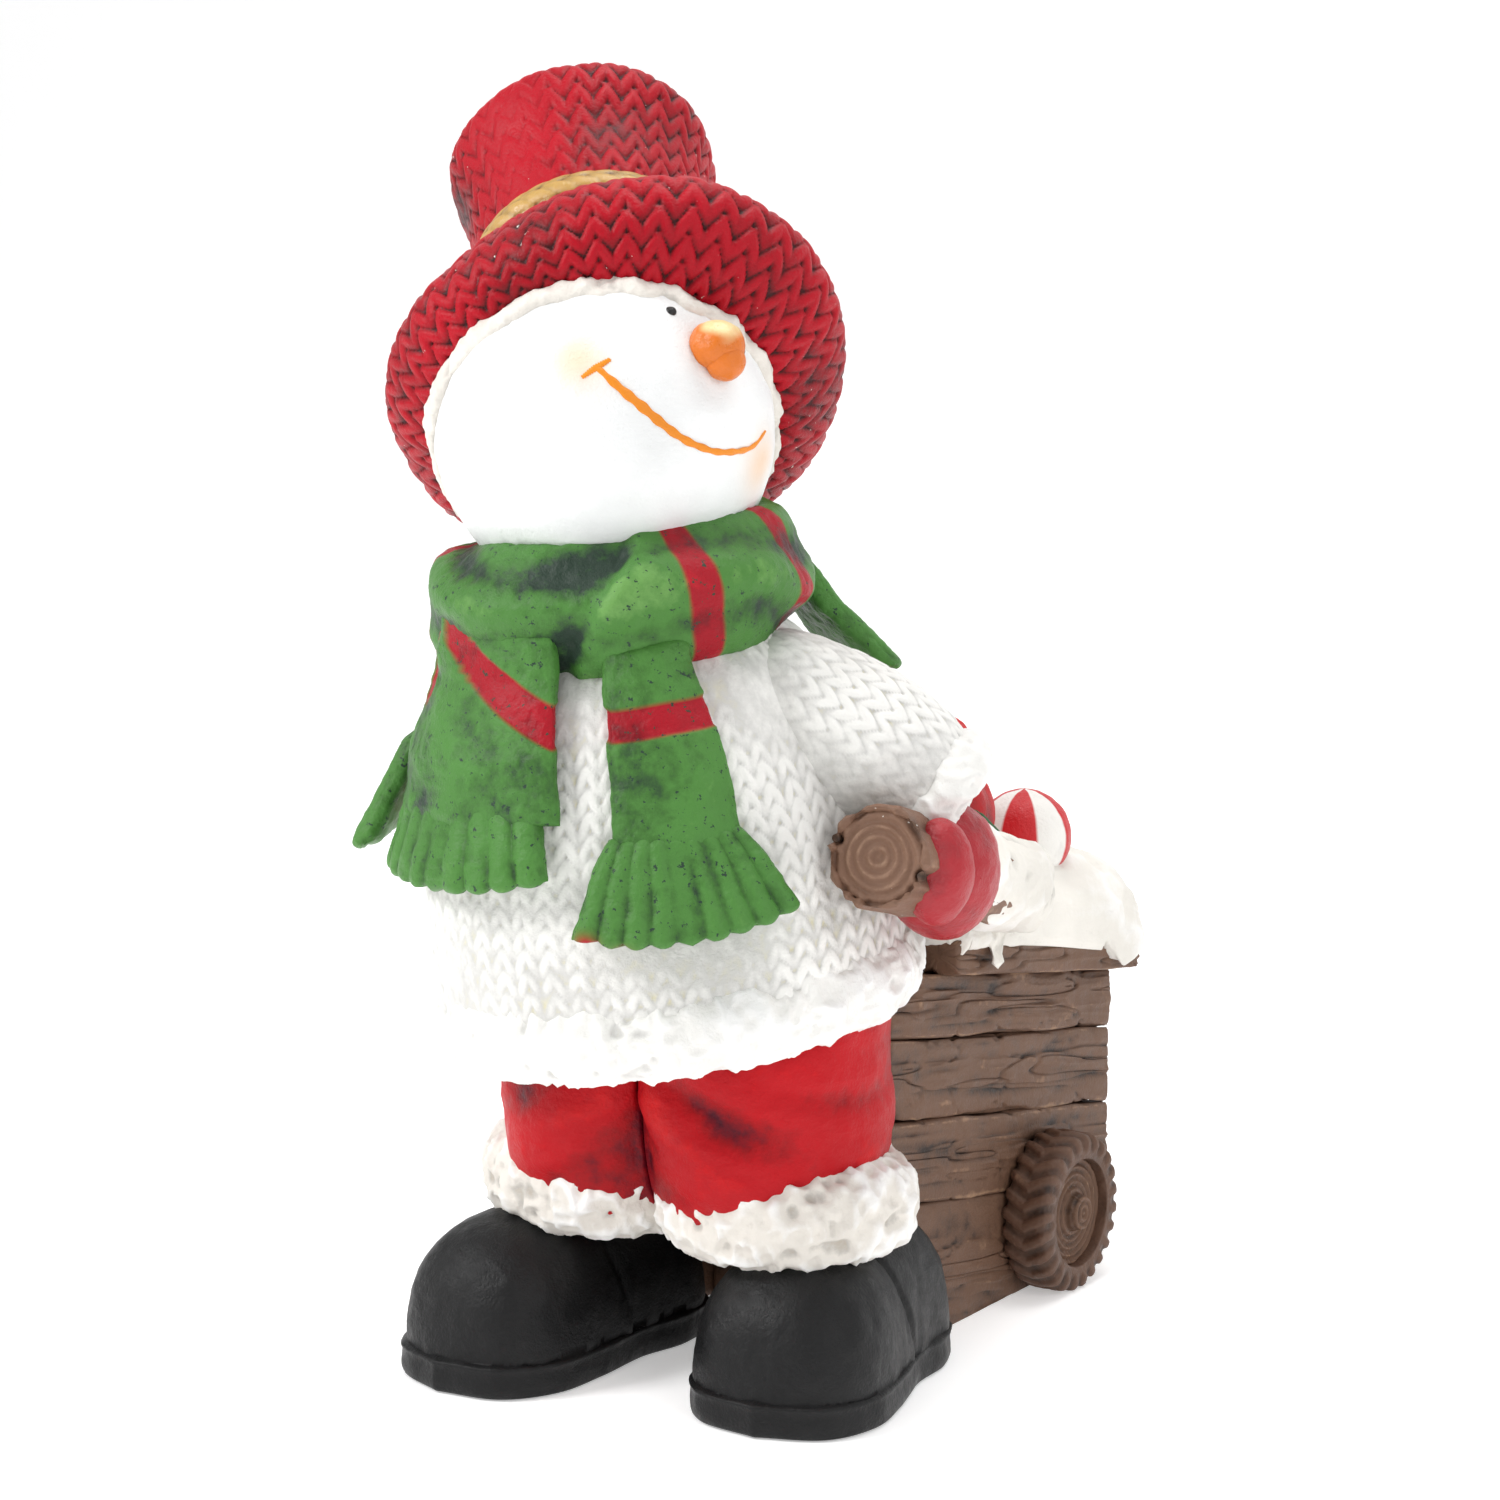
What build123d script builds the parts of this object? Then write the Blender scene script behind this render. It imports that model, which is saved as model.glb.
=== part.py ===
from build123d import *
from math import cos, radians, sin
import os

# Painted cast figure of a snowman with a handcart behind it. Millimetres, +Z up,
# the figure faces -Y, and +X is the figure's own left. Each part is made about the
# point midway between the boots, and all of them are then shifted together so that
# the origin is at the bottom centre of the whole object.

WALL = 8.0  # thickness of the hollow casting
OCTAGON = 1.05  # corners of an eight-sided section stand a little outside its oval

# head and hat
HEAD_RADIUS = 56.0
HEAD_CENTRE = Vector(-20, -22, 322)
FACE_DIRECTION = Vector(0.83, -0.14, 0.55)
NOSE_DIRECTION = Vector(0.845, -0.195, 0.495)
HAT_CENTRE = HEAD_CENTRE + Vector(4, 3, 4)
CROWN_DIRECTION = Vector(-0.536, 0.642, 0.550)
NOSE_RADIUS = 8.5
EYE_RADIUS = 2.0
EYE_SPREAD = 14.4  # degrees from the middle of the face to an eye
EYE_RISE = 0.084  # of the head's radius, above the middle of the face
BRIM_RADIUS = 77.0
BRIM_EDGE_HEIGHT = 30.0  # along the crown's axis from the centre of the hat
BRIM_FOOT_HEIGHT = 4.0
CROWN_BASE_HEIGHT = 62.0
CROWN_WAIST_HEIGHT = 88.0
CROWN_TOP_HEIGHT = 135.0
CROWN_BASE_RADIUS = 38.0
CROWN_TOP_RADIUS = 46.0
BRAID_HEIGHT = 70.0
BRAID_TUBE = 4.0

# pullover and scarf, about the leaning axis of the body
BODY_FOOT = Vector(-3, -3, 125)
BODY_DIRECTION = Vector(-0.0984, -0.0984, 0.990)
BODY_SHAPE = [(6, 78), (40, 79), (75, 76), (105, 67), (128, 55)]  # height, radius
HEM_TUBE = (13.0, 15.0)
HEM_RADIUS = 71.0
COLLAR_HEIGHT = 146.0
COLLAR_RADIUS = 43.0
COLLAR_TUBE = (20.0, 22.0)
SCARF_THICKNESS = 9.0
FRINGE_FLARE = 9.0
SLEEVE_RADIUS = 24.0
CUFF_TUBE = 8.0
SHOULDERS = {"left": Vector(34, -6, 237), "right": Vector(-60, 2, 237)}
WRISTS = {"left": Vector(86, 18, 204), "right": Vector(-87, 36, 204)}
HANDS = {"left": Vector(84, 14, 180), "right": Vector(-94, 37, 179)}
MITTEN_SIZE = (19.0, 21.0, 23.5)

# trousers and boots
LEG_SPACING = 29.0
LEG_SIZE = (39.0, 46.0)
LEG_BOTTOM = 66.0
LEG_TOP = 120.0
SEAT_TOP = 145.0
CUFF_SPACING = 36.0
TROUSER_CUFF_HEIGHT = 66.0
TROUSER_CUFF_TUBE = (11.0, 17.0)
BOOT_LENGTH = 118.0
BOOT_WIDTH = 66.0
BOOT_TOP = 60.0
SOLE_THICKNESS = 12.0
SOLE_EDGE = 2.0
SPLAY = 8.0
BOOT_PLACES = {"left": (48, 9), "right": (-50, -10)}

# handcart
CART_HALF_WIDTH = 50.0
CART_FRONT = 38.0
CART_FRONT_WALL = 82.0
CART_BACK = 209.0
CART_TILT = 9.0
BOARD = 8.0
BOARD_JOINTS = [27.0, 57.0, 86.0, 109.0]  # heights at the back of the cart
BOARD_GAP = 1.0
RIM_OVERHANG = 8.0
RIM_THICKNESS = 13.0
FLOOR_HEIGHT = 8.0
WHEEL_RADIUS = 29.0
WHEEL_WIDTH = 19.0
WHEEL_Y = 153.0
HANDLE_FRONTS = {"left": Vector(89, -28, 191), "right": Vector(-97, 8, 187)}
HANDLE_BACKS = {"left": Vector(67, 92, 160), "right": Vector(-69, 96, 158)}
HANDLE_RADII = (16.0, 13.5)

# load of the cart
SNOW_RISE = 30.0
SNOW_SKIN = 10.0
BALL_RADIUS = 17.0
BALL_PLACE = Vector(36, 163, 158)
SACK_PLACE = Vector(25, 118, 172)


def along(origin, direction):
    return Plane(origin=origin, z_dir=direction).location


BODY = Plane(origin=BODY_FOOT, x_dir=(1, 0, 0.0994), z_dir=BODY_DIRECTION).location
HAT = along(HAT_CENTRE, CROWN_DIRECTION)


def turned(outline, arc=360.0, start=0.0):
    """Solid of revolution from a closed outline of (radius, height) points."""
    face = make_face(Plane.XZ * Polyline(*outline, close=True))
    return Rot(Z=start) * revolve(face, Axis.Z, revolution_arc=arc)


def smooth_turned(outer, inner):
    """Solid of revolution between two smooth profiles of (radius, height) points."""
    edges = Spline(*outer) + Spline(*inner)
    edges += Line(outer[0], inner[0]) + Line(outer[-1], inner[-1])
    return revolve(make_face(Plane.XZ * edges), Axis.Z)


def ring(radius, height, tube):
    """Ring of rounded eight-sided section, tube being its half width and half height."""
    half_width, half_height = (size * OCTAGON for size in tube)
    corners = [radians(45 * (n + 0.5)) for n in range(8)]
    return turned([(radius + half_width * cos(a), height + half_height * sin(a)) for a in corners])


def oval_ball(centre, size):
    return Pos(*centre) * scale(Sphere(1), by=size)


# ---- head and hat

def head():
    return Pos(*HEAD_CENTRE) * (Sphere(HEAD_RADIUS) - Sphere(HEAD_RADIUS - WALL))


def head_solid():
    return Pos(*HEAD_CENTRE) * Sphere(HEAD_RADIUS)


def nose():
    root = HEAD_CENTRE + NOSE_DIRECTION.normalized() * (HEAD_RADIUS + 2)
    tip = root + Vector(4, 1, -5) + NOSE_DIRECTION.normalized() * 5
    bridge = along(root, NOSE_DIRECTION) * Sphere(NOSE_RADIUS) - head_solid()
    return bridge + along(tip, NOSE_DIRECTION) * Sphere(NOSE_RADIUS * 0.7)


def eyes():
    """Two small domes above the nose, one each side of the middle of the face."""
    middle = FACE_DIRECTION.normalized()
    side = middle.cross(CROWN_DIRECTION).normalized()
    up = side.cross(middle)
    placed = []
    for sign in (-1, 1):
        tilt = middle + up * EYE_RISE + side * (sign * sin(radians(EYE_SPREAD)))
        centre = HEAD_CENTRE + tilt.normalized() * HEAD_RADIUS
        placed.append(Pos(*centre) * Sphere(EYE_RADIUS) - head_solid())
    return Compound(children=placed)


def brim():
    outer = [(HEAD_RADIUS + 1, BRIM_FOOT_HEIGHT), (68, 11), (BRIM_RADIUS - 1, 22),
             (BRIM_RADIUS, BRIM_EDGE_HEIGHT), (70, 39), (54, 49),
             (CROWN_BASE_RADIUS + 3, CROWN_BASE_HEIGHT)]
    inner = [(HEAD_RADIUS - WALL, BRIM_FOOT_HEIGHT), (44, 30), (32, CROWN_BASE_HEIGHT)]
    return HAT * smooth_turned(outer, inner) - head_solid()


def crown():
    outline = [(CROWN_BASE_RADIUS, CROWN_BASE_HEIGHT), (CROWN_BASE_RADIUS, CROWN_WAIST_HEIGHT),
               (CROWN_TOP_RADIUS, CROWN_TOP_HEIGHT - 9), (CROWN_TOP_RADIUS - 5, CROWN_TOP_HEIGHT),
               (0, CROWN_TOP_HEIGHT)]
    hollow = [(0, CROWN_TOP_HEIGHT - WALL), (CROWN_TOP_RADIUS - WALL, CROWN_TOP_HEIGHT - WALL - 3),
              (CROWN_BASE_RADIUS - WALL, CROWN_WAIST_HEIGHT), (CROWN_BASE_RADIUS - WALL, CROWN_BASE_HEIGHT)]
    return HAT * turned(outline + hollow)


def braid():
    return HAT * ring(CROWN_BASE_RADIUS + 2, BRAID_HEIGHT, (BRAID_TUBE, BRAID_TUBE + 2))


# ---- pullover

def body_radius(height):
    """Outer radius of the pullover at a height, by straight lines between its points."""
    for (low, r_low), (high, r_high) in zip(BODY_SHAPE, BODY_SHAPE[1:]):
        if height <= high:
            return r_low + (r_high - r_low) * (height - low) / (high - low)
    return BODY_SHAPE[-1][1]


def pullover():
    outer = [(radius, height) for height, radius in BODY_SHAPE]
    inner = [(radius - WALL, height) for height, radius in reversed(BODY_SHAPE)]
    return BODY * turned(outer + inner)


def pullover_hem():
    return BODY * ring(HEM_RADIUS, 12, HEM_TUBE)


def sleeve(side):
    shoulder = SHOULDERS[side]
    run = WRISTS[side] - shoulder
    profile = [(0, -14), (SLEEVE_RADIUS - 6, -12), (SLEEVE_RADIUS + 1, 8),
               (SLEEVE_RADIUS + 2, run.length * 0.55), (SLEEVE_RADIUS - 3, run.length), (0, run.length)]
    return along(shoulder, run) * turned(profile)


def sleeve_cuff(side):
    wrist = WRISTS[side]
    return along(wrist, wrist - SHOULDERS[side]) * ring(SLEEVE_RADIUS - 8, 0, (CUFF_TUBE + 2, CUFF_TUBE))


def mitten(side):
    hand = HANDS[side]
    sign = 1 if side == "left" else -1
    thumb = Pos(*(hand + Vector(-7 * sign, -14, 13))) * Sphere(9)
    return oval_ball(hand, MITTEN_SIZE) + thumb


# ---- scarf

def scarf_collar():
    return BODY * ring(COLLAR_RADIUS, COLLAR_HEIGHT, COLLAR_TUBE)


def scarf_strip(heights, start, arc, flare=0.0, lift=0.0):
    """Curved strip lying on the pullover between two heights, flared at its lower end."""
    low, high = heights
    inside = [(body_radius(high) - 3, high), (body_radius(low) + lift, low)]
    outside = [(body_radius(low) + lift + flare + SCARF_THICKNESS, low),
               (body_radius(high) + SCARF_THICKNESS + lift, high)]
    return BODY * turned(inside + outside, arc, start)


def front_tail():
    return scarf_strip((72, 134), -64, 29)


def front_fringe():
    return scarf_strip((44, 72), -73, 46, FRINGE_FLARE)


def shoulder_drape():
    return scarf_strip((82, 150), -140, 64)


def shoulder_fringe():
    return scarf_strip((56, 82), -138, 60, 5)


def side_end():
    return scarf_strip((68, 104), -168, 28, FRINGE_FLARE, 3)


def back_end():
    return scarf_strip((104, 140), 42, 30, FRINGE_FLARE + 2, 6)


# ---- trousers and boots

def trouser_leg(side):
    place = Pos(LEG_SPACING if side == "left" else -LEG_SPACING, 2, LEG_BOTTOM)
    height = LEG_TOP - LEG_BOTTOM
    column = place * extrude(Ellipse(*LEG_SIZE), height)
    core = place * extrude(Ellipse(LEG_SIZE[0] - WALL, LEG_SIZE[1] - WALL), height)
    own_side = Align.MIN if side == "left" else Align.MAX
    half = Box(200, 200, 300, align=(own_side, Align.CENTER, Align.MIN))
    return (column & half) - core


def trouser_seat():
    top = Pos(-3, -3, SEAT_TOP) * Ellipse(64, 60)
    bottom = Pos(0, 2, LEG_TOP) * Ellipse(70, 44)
    top_core = Pos(-3, -3, SEAT_TOP) * Ellipse(56, 52)
    bottom_core = Pos(0, 2, LEG_TOP) * Ellipse(62, 36)
    return loft([bottom, top]) - loft([bottom_core, top_core])


def trouser_cuff(side):
    x = CUFF_SPACING if side == "left" else -CUFF_SPACING
    return Pos(x, 2, 0) * ring(32, TROUSER_CUFF_HEIGHT, TROUSER_CUFF_TUBE)


def foot_outline(grow):
    """Plan of a foot: a wide round toe towards -Y and a narrower round heel."""
    toe = Pos(0, (BOOT_WIDTH - BOOT_LENGTH) / 2) * Circle(BOOT_WIDTH / 2 + grow)
    heel_radius = BOOT_WIDTH * 0.42
    heel = Pos(0, BOOT_LENGTH / 2 - heel_radius) * Circle(heel_radius + grow)
    return make_hull(toe.edges() + heel.edges())


def foot_frame(side):
    x, y = BOOT_PLACES[side]
    return Pos(x, y, 0) * Rot(Z=SPLAY if side == "left" else -SPLAY)


def sole(side):
    return foot_frame(side) * extrude(foot_outline(SOLE_EDGE), SOLE_THICKNESS)


def boot(side):
    toe = Pos(0, -BOOT_LENGTH / 2 + 33, SOLE_THICKNESS + 4) * scale(Sphere(1), by=(33, 33, 40))
    heel = Pos(0, 24, SOLE_THICKNESS + 4) * scale(Sphere(1), by=(28, 34, 38))
    upright = (Align.CENTER, Align.CENTER, Align.MIN)
    shaft = Pos(0, 10, SOLE_THICKNESS + 8) * Cylinder(27, BOOT_TOP - SOLE_THICKNESS - 8, align=upright)
    above = Box(200, 200, 200, align=upright)
    return foot_frame(side) * ((toe + heel + shaft) & Pos(0, 0, SOLE_THICKNESS) * above)


# ---- handcart

def cart_height(y, at_back):
    return at_back + (CART_BACK - y) * sin(radians(CART_TILT)) / cos(radians(CART_TILT))


def cart_bar(low, high, x, thickness, front, back):
    """Board along the side of the cart, following its tilt, with upright ends."""
    corners = [(front, cart_height(front, low)), (back, cart_height(back, low)),
               (back, cart_height(back, high)), (front, cart_height(front, high))]
    face = make_face(Plane.YZ * Polyline(*corners, close=True))
    return Pos(x - thickness / 2, 0, 0) * extrude(face, thickness)


def board_heights():
    edges = [-40.0] + BOARD_JOINTS
    return [(low + BOARD_GAP / 2, high - BOARD_GAP / 2) for low, high in zip(edges, edges[1:])]


def above_ground(shape):
    return shape & Box(400, 600, 400, align=(Align.CENTER, Align.CENTER, Align.MIN))


def side_boards(side):
    x = (CART_HALF_WIDTH - BOARD / 2) * (1 if side == "left" else -1)
    return [above_ground(cart_bar(low, high, x, BOARD, CART_FRONT, CART_BACK)) for low, high in board_heights()]


def cross_boards(y_front, y_back):
    inner = 2 * (CART_HALF_WIDTH - BOARD)
    return [above_ground(cart_bar(low, high, 0, inner, y_front, y_back)) for low, high in board_heights()]


def cart_rim():
    low, high = BOARD_JOINTS[-1] + BOARD_GAP / 2, BOARD_JOINTS[-1] + RIM_THICKNESS
    width = BOARD + RIM_OVERHANG
    x = CART_HALF_WIDTH + RIM_OVERHANG - width / 2
    back = CART_BACK + RIM_OVERHANG
    rails = [cart_bar(low, high, sign * x, width, CART_FRONT, back) for sign in (-1, 1)]
    rails.append(cart_bar(low, high, 0, 2 * (x - width / 2), CART_BACK - BOARD, back))
    return rails


def cart_floor():
    inner = 2 * (CART_HALF_WIDTH - BOARD)
    length = CART_BACK - BOARD - CART_FRONT_WALL
    return Pos(0, CART_FRONT_WALL + length / 2, FLOOR_HEIGHT / 2) * Box(inner, length, FLOOR_HEIGHT)


def wheel_frame(side):
    turn = 90 if side == "left" else -90
    start = CART_HALF_WIDTH if side == "left" else -CART_HALF_WIDTH
    return Pos(start, WHEEL_Y, WHEEL_RADIUS) * Rot(Y=turn)


def tyre(side):
    outline = [(20, 0), (WHEEL_RADIUS - 3, 0), (WHEEL_RADIUS, 4), (WHEEL_RADIUS, WHEEL_WIDTH - 5),
               (WHEEL_RADIUS - 5, WHEEL_WIDTH), (20, WHEEL_WIDTH)]
    return wheel_frame(side) * turned(outline)


def wheel_disc(side):
    outline = [(0, 0), (20, 0), (20, WHEEL_WIDTH - 2), (12, WHEEL_WIDTH - 4), (6, WHEEL_WIDTH + 1),
               (0, WHEEL_WIDTH + 1)]
    return wheel_frame(side) * turned(outline)


def handle(side):
    front = HANDLE_FRONTS[side]
    run = HANDLE_BACKS[side] - front
    thick, thin = HANDLE_RADII
    profile = [(0, 0), (thick - 2, 0), (thick, 3), (thin, run.length), (0, run.length)]
    return along(front, run) * turned(profile)


def snow():
    """Mound that closes the top of the cart, with a level underside."""
    top = BOARD_JOINTS[-1] + RIM_THICKNESS
    reach = CART_HALF_WIDTH + RIM_OVERHANG - 2
    mid = (CART_FRONT_WALL + CART_BACK) / 2
    back = CART_BACK + RIM_OVERHANG - 2
    skin = cart_bar(top, top + SNOW_SKIN, 0, 2 * reach, CART_FRONT_WALL, back)
    length = (back - CART_FRONT_WALL) / 2
    dome = oval_ball((0, mid, cart_height(mid, top)), (reach - 6, length - 4, SNOW_RISE))
    return skin + above(dome, mid, top)


def above(shape, mid, top):
    block = cart_bar(top, top + 100, 0, 400, mid - 150, mid + 150)
    return shape & block


def striped_ball():
    return Pos(*BALL_PLACE) * Sphere(BALL_RADIUS)


def red_sack():
    bag = oval_ball(SACK_PLACE, (22, 20, 22))
    neck = Pos(*(SACK_PLACE + Vector(2, 0, 27))) * scale(Sphere(1), by=(12, 10, 9))
    return bag + neck


def sack_tie():
    return Pos(*(SACK_PLACE + Vector(2, 0, 18.5))) * ring(11, 0, (3.5, 3))


def green_strap():
    place = Pos(50, 118, 158) * Rot(X=-20, Y=35, Z=20)
    return place * Box(11, 34, 7)


def fitted(shape, *neighbours):
    """Shape with the space of its neighbours taken out, so that they meet face to face."""
    for neighbour in neighbours:
        for block in neighbour.solids():
            if boxes_meet(shape.bounding_box(), block.bounding_box()):
                shape = Compound((shape - block).solids())
    return shape


def boxes_meet(one, other):
    return all(low < high for low, high in zip((*one.min, *other.min), (*other.max, *one.max)))


def biggest(shape):
    return max(shape.solids(), key=lambda solid: solid.volume)


def build():
    parts = {}
    skull = head_solid()
    parts["head"] = head()
    parts["carrot_nose"] = nose()
    parts["eyes"] = eyes()
    parts["hat_brim"] = brim()
    parts["hat_crown"] = fitted(crown(), parts["hat_brim"])
    parts["hat_braid"] = fitted(braid(), parts["hat_brim"], parts["hat_crown"])
    collar = fitted(scarf_collar(), skull, parts["hat_brim"])
    parts["scarf_collar"] = collar
    parts["pullover_hem"] = pullover_hem()
    trunk = fitted(pullover(), collar, parts["pullover_hem"], skull)
    parts["pullover_body"] = trunk
    core = BODY * turned([(0, 0)] + [(radius, height) for height, radius in BODY_SHAPE] + [(0, 128)])
    for side in ("left", "right"):
        log = handle(side)
        glove = mitten(side)
        wool = sleeve_cuff(side)
        log = biggest(fitted(log, core))
        parts[f"cart_handle_{side}"] = log
        parts[f"mitten_{side}"] = biggest(fitted(glove, log, core))
        parts[f"sleeve_cuff_{side}"] = biggest(fitted(wool, log, glove, core))
        parts[f"sleeve_{side}"] = biggest(fitted(sleeve(side), log, glove, wool, core, collar, skull,
                                                 parts["hat_brim"]))
    arm = parts["sleeve_right"]
    hat = parts["hat_brim"]
    cloth = (parts["pullover_body"], collar, skull, hat)
    parts["scarf_front_tail"] = biggest(fitted(front_tail(), *cloth))
    parts["scarf_front_fringe"] = biggest(fitted(front_fringe(), parts["pullover_body"]))
    drape = biggest(fitted(shoulder_drape(), *cloth, arm))
    parts["scarf_shoulder_drape"] = drape
    parts["scarf_shoulder_fringe"] = biggest(fitted(shoulder_fringe(), parts["pullover_body"], arm))
    parts["scarf_side_end"] = biggest(fitted(side_end(), *cloth, arm, drape, parts["scarf_shoulder_fringe"],
                                             parts["sleeve_cuff_right"], parts["mitten_right"]))
    parts["scarf_back_end"] = biggest(fitted(back_end(), *cloth, parts["sleeve_left"]))
    figure = [parts["pullover_body"], parts["pullover_hem"]]
    seat = fitted(trouser_seat(), *figure)
    parts["trousers_seat"] = seat
    cuffs = {}
    for side in ("left", "right"):
        cuffs[side] = fitted(trouser_cuff(side), boot("left"), boot("right"), *cuffs.values())
    for side in ("left", "right"):
        foot = sole(side)
        shoe = boot(side)
        parts[f"sole_{side}"] = foot
        parts[f"boot_{side}"] = shoe
        parts[f"trouser_cuff_{side}"] = biggest(cuffs[side])
        parts[f"trouser_leg_{side}"] = biggest(fitted(trouser_leg(side), seat, *cuffs.values(), shoe, *figure))
    parts["boot_right"] = biggest(fitted(parts["boot_right"], parts["sole_left"], parts["boot_left"]))
    figure += [parts[name] for name in ("trousers_seat", "trouser_leg_left", "trouser_leg_right", "boot_left",
                                        "boot_right", "sole_left", "sole_right", "trouser_cuff_left",
                                        "trouser_cuff_right")]
    logs = [parts["cart_handle_left"], parts["cart_handle_right"]]
    for side in ("left", "right"):
        boards = [biggest(fitted(board, *figure, *logs)) for board in side_boards(side)]
        parts[f"cart_boards_{side}"] = Compound(children=boards)
        parts[f"tyre_{side}"] = tyre(side)
        parts[f"wheel_disc_{side}"] = wheel_disc(side)
    front = [fitted(board, *figure) for board in cross_boards(CART_FRONT_WALL - BOARD, CART_FRONT_WALL)]
    parts["cart_boards_front"] = Compound(children=[biggest(board) for board in front])
    parts["cart_boards_back"] = Compound(children=cross_boards(CART_BACK - BOARD, CART_BACK))
    for name in ("cart_boards_front", "cart_boards_back"):
        parts[name] = fitted(parts[name], cart_floor())
    parts["cart_floor"] = cart_floor()
    arm_pieces = ("mitten", "sleeve_cuff", "sleeve")
    hands = [parts[f"{piece}_{side}"] for piece in arm_pieces for side in ("left", "right")]
    rim = [biggest(fitted(rail, *figure, *logs, *hands)) for rail in cart_rim()]
    parts["cart_rim"] = Compound(children=rim)
    load = biggest(fitted(snow(), *figure, *logs, *hands))
    parts["snow_load"] = load
    parts["striped_ball"] = biggest(fitted(striped_ball(), load))
    sack = biggest(fitted(red_sack(), load, sack_tie()))
    parts["red_sack"] = sack
    parts["sack_tie"] = sack_tie()
    parts["green_strap"] = biggest(fitted(green_strap(), load, sack, parts["striped_ball"]))
    return parts


def main():
    os.makedirs("parts", exist_ok=True)
    parts = build()
    box = Compound(children=[Compound(shape.solids()) for shape in parts.values()]).bounding_box()
    shift = Pos(-box.center().X, -box.center().Y, -box.min.Z)
    for name, shape in parts.items():
        export_step(shift * Compound(shape.solids()), f"parts/{name}.step")
    print("size", box.size)


main()
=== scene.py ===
import bmesh
import bpy
from math import cos, pi, radians, sin
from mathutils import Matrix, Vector
import numpy as np


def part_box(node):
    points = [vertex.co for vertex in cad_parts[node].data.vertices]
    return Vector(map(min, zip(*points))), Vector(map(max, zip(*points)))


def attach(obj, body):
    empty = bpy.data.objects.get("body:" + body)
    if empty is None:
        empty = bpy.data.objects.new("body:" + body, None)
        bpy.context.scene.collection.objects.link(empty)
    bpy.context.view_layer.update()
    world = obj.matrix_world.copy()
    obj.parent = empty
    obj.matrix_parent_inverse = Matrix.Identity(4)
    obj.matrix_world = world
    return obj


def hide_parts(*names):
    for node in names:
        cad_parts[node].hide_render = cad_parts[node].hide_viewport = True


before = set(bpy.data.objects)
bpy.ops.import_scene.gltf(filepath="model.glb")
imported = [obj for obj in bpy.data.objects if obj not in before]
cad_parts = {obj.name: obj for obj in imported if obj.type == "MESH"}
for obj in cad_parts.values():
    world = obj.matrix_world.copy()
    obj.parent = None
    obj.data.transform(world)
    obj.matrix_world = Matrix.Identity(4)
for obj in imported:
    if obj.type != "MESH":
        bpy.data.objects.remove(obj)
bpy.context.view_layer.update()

# ---- Soles and boots
# Round-toed winter boots, cast solid with the figure and brushed matte black, with a seam over
# the foot and a sole pressed out all round.

# Places are in millimetres from the floor midway between the boots.
HEAD_CENTRE = np.array([-20.0, -22.0, 322.0])
head_low, head_high = (np.array(corner) * 1000 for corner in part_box("head"))
STAND = (head_low + head_high) / 2 - HEAD_CENTRE


def lattice(cells, seed):
    """Even random number from 0 to 1 for each whole-number cell."""
    x, y, z = (cells[..., axis].astype(np.int64) for axis in range(3))
    mixed = (x * 73856093) ^ (y * 19349663) ^ (z * 83492791) ^ (seed * 2654435761)
    mixed = (mixed ^ (mixed >> 13)) * 1274126177
    return ((mixed ^ (mixed >> 16)) & 0xFFFF) / 65535.0


def lumps(points, size, seed=1):
    """Soft random lumps from -1 to 1, about size across."""
    spot = points / np.asarray(size, float)
    cell = np.floor(spot)
    part = spot - cell
    part = part * part * (3 - 2 * part)
    total = np.zeros(points.shape[:-1])
    for corner in range(8):
        step = np.array([corner & 1, corner >> 1 & 1, corner >> 2 & 1])
        weight = np.prod(np.where(step == 1, part, 1 - part), axis=-1)
        total += weight * lattice(cell + step, seed)
    return total * 2 - 1


def rough(points, size, seed=1):
    """Lumps of three sizes together."""
    return (lumps(points, size, seed) + 0.5 * lumps(points, np.asarray(size) * 0.47, seed + 1)
            + 0.25 * lumps(points, np.asarray(size) * 0.21, seed + 2)) / 1.4


def smooth_line(points, count):
    """Evenly spaced points on a smooth curve through the given ones."""
    points = np.asarray(points, float)
    padded = np.vstack([2 * points[0] - points[1], points, 2 * points[-1] - points[-2]])
    fine = []
    t = np.linspace(0, 1, 24, endpoint=False)[:, None]
    for a, b, c, d in zip(padded, padded[1:], padded[2:], padded[3:]):
        fine.append(0.5 * (2 * b + (c - a) * t + (2 * a - 5 * b + 4 * c - d) * t ** 2
                           + (3 * b - a - 3 * c + d) * t ** 3))
    fine = np.vstack(fine + [points[-1:]])
    run = np.concatenate([[0], np.cumsum(np.linalg.norm(np.diff(fine, axis=0), axis=1))])
    at = np.linspace(0, run[-1], count)
    return np.stack([np.interp(at, run, fine[:, axis]) for axis in range(fine.shape[1])], axis=1)


def outward(rings):
    """Unit normals of a grid of points, rows along the piece and columns round it."""
    around = np.roll(rings, -1, axis=1) - np.roll(rings, 1, axis=1)
    normal = np.cross(around, np.gradient(rings, axis=0))
    length = np.linalg.norm(normal, axis=-1, keepdims=True)
    normal = normal / np.maximum(length, 1e-9)
    middle = rings.mean(axis=1, keepdims=True)
    facing = np.sum(normal * (rings - middle), axis=-1).mean()
    return normal if facing > 0 else -normal


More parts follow.
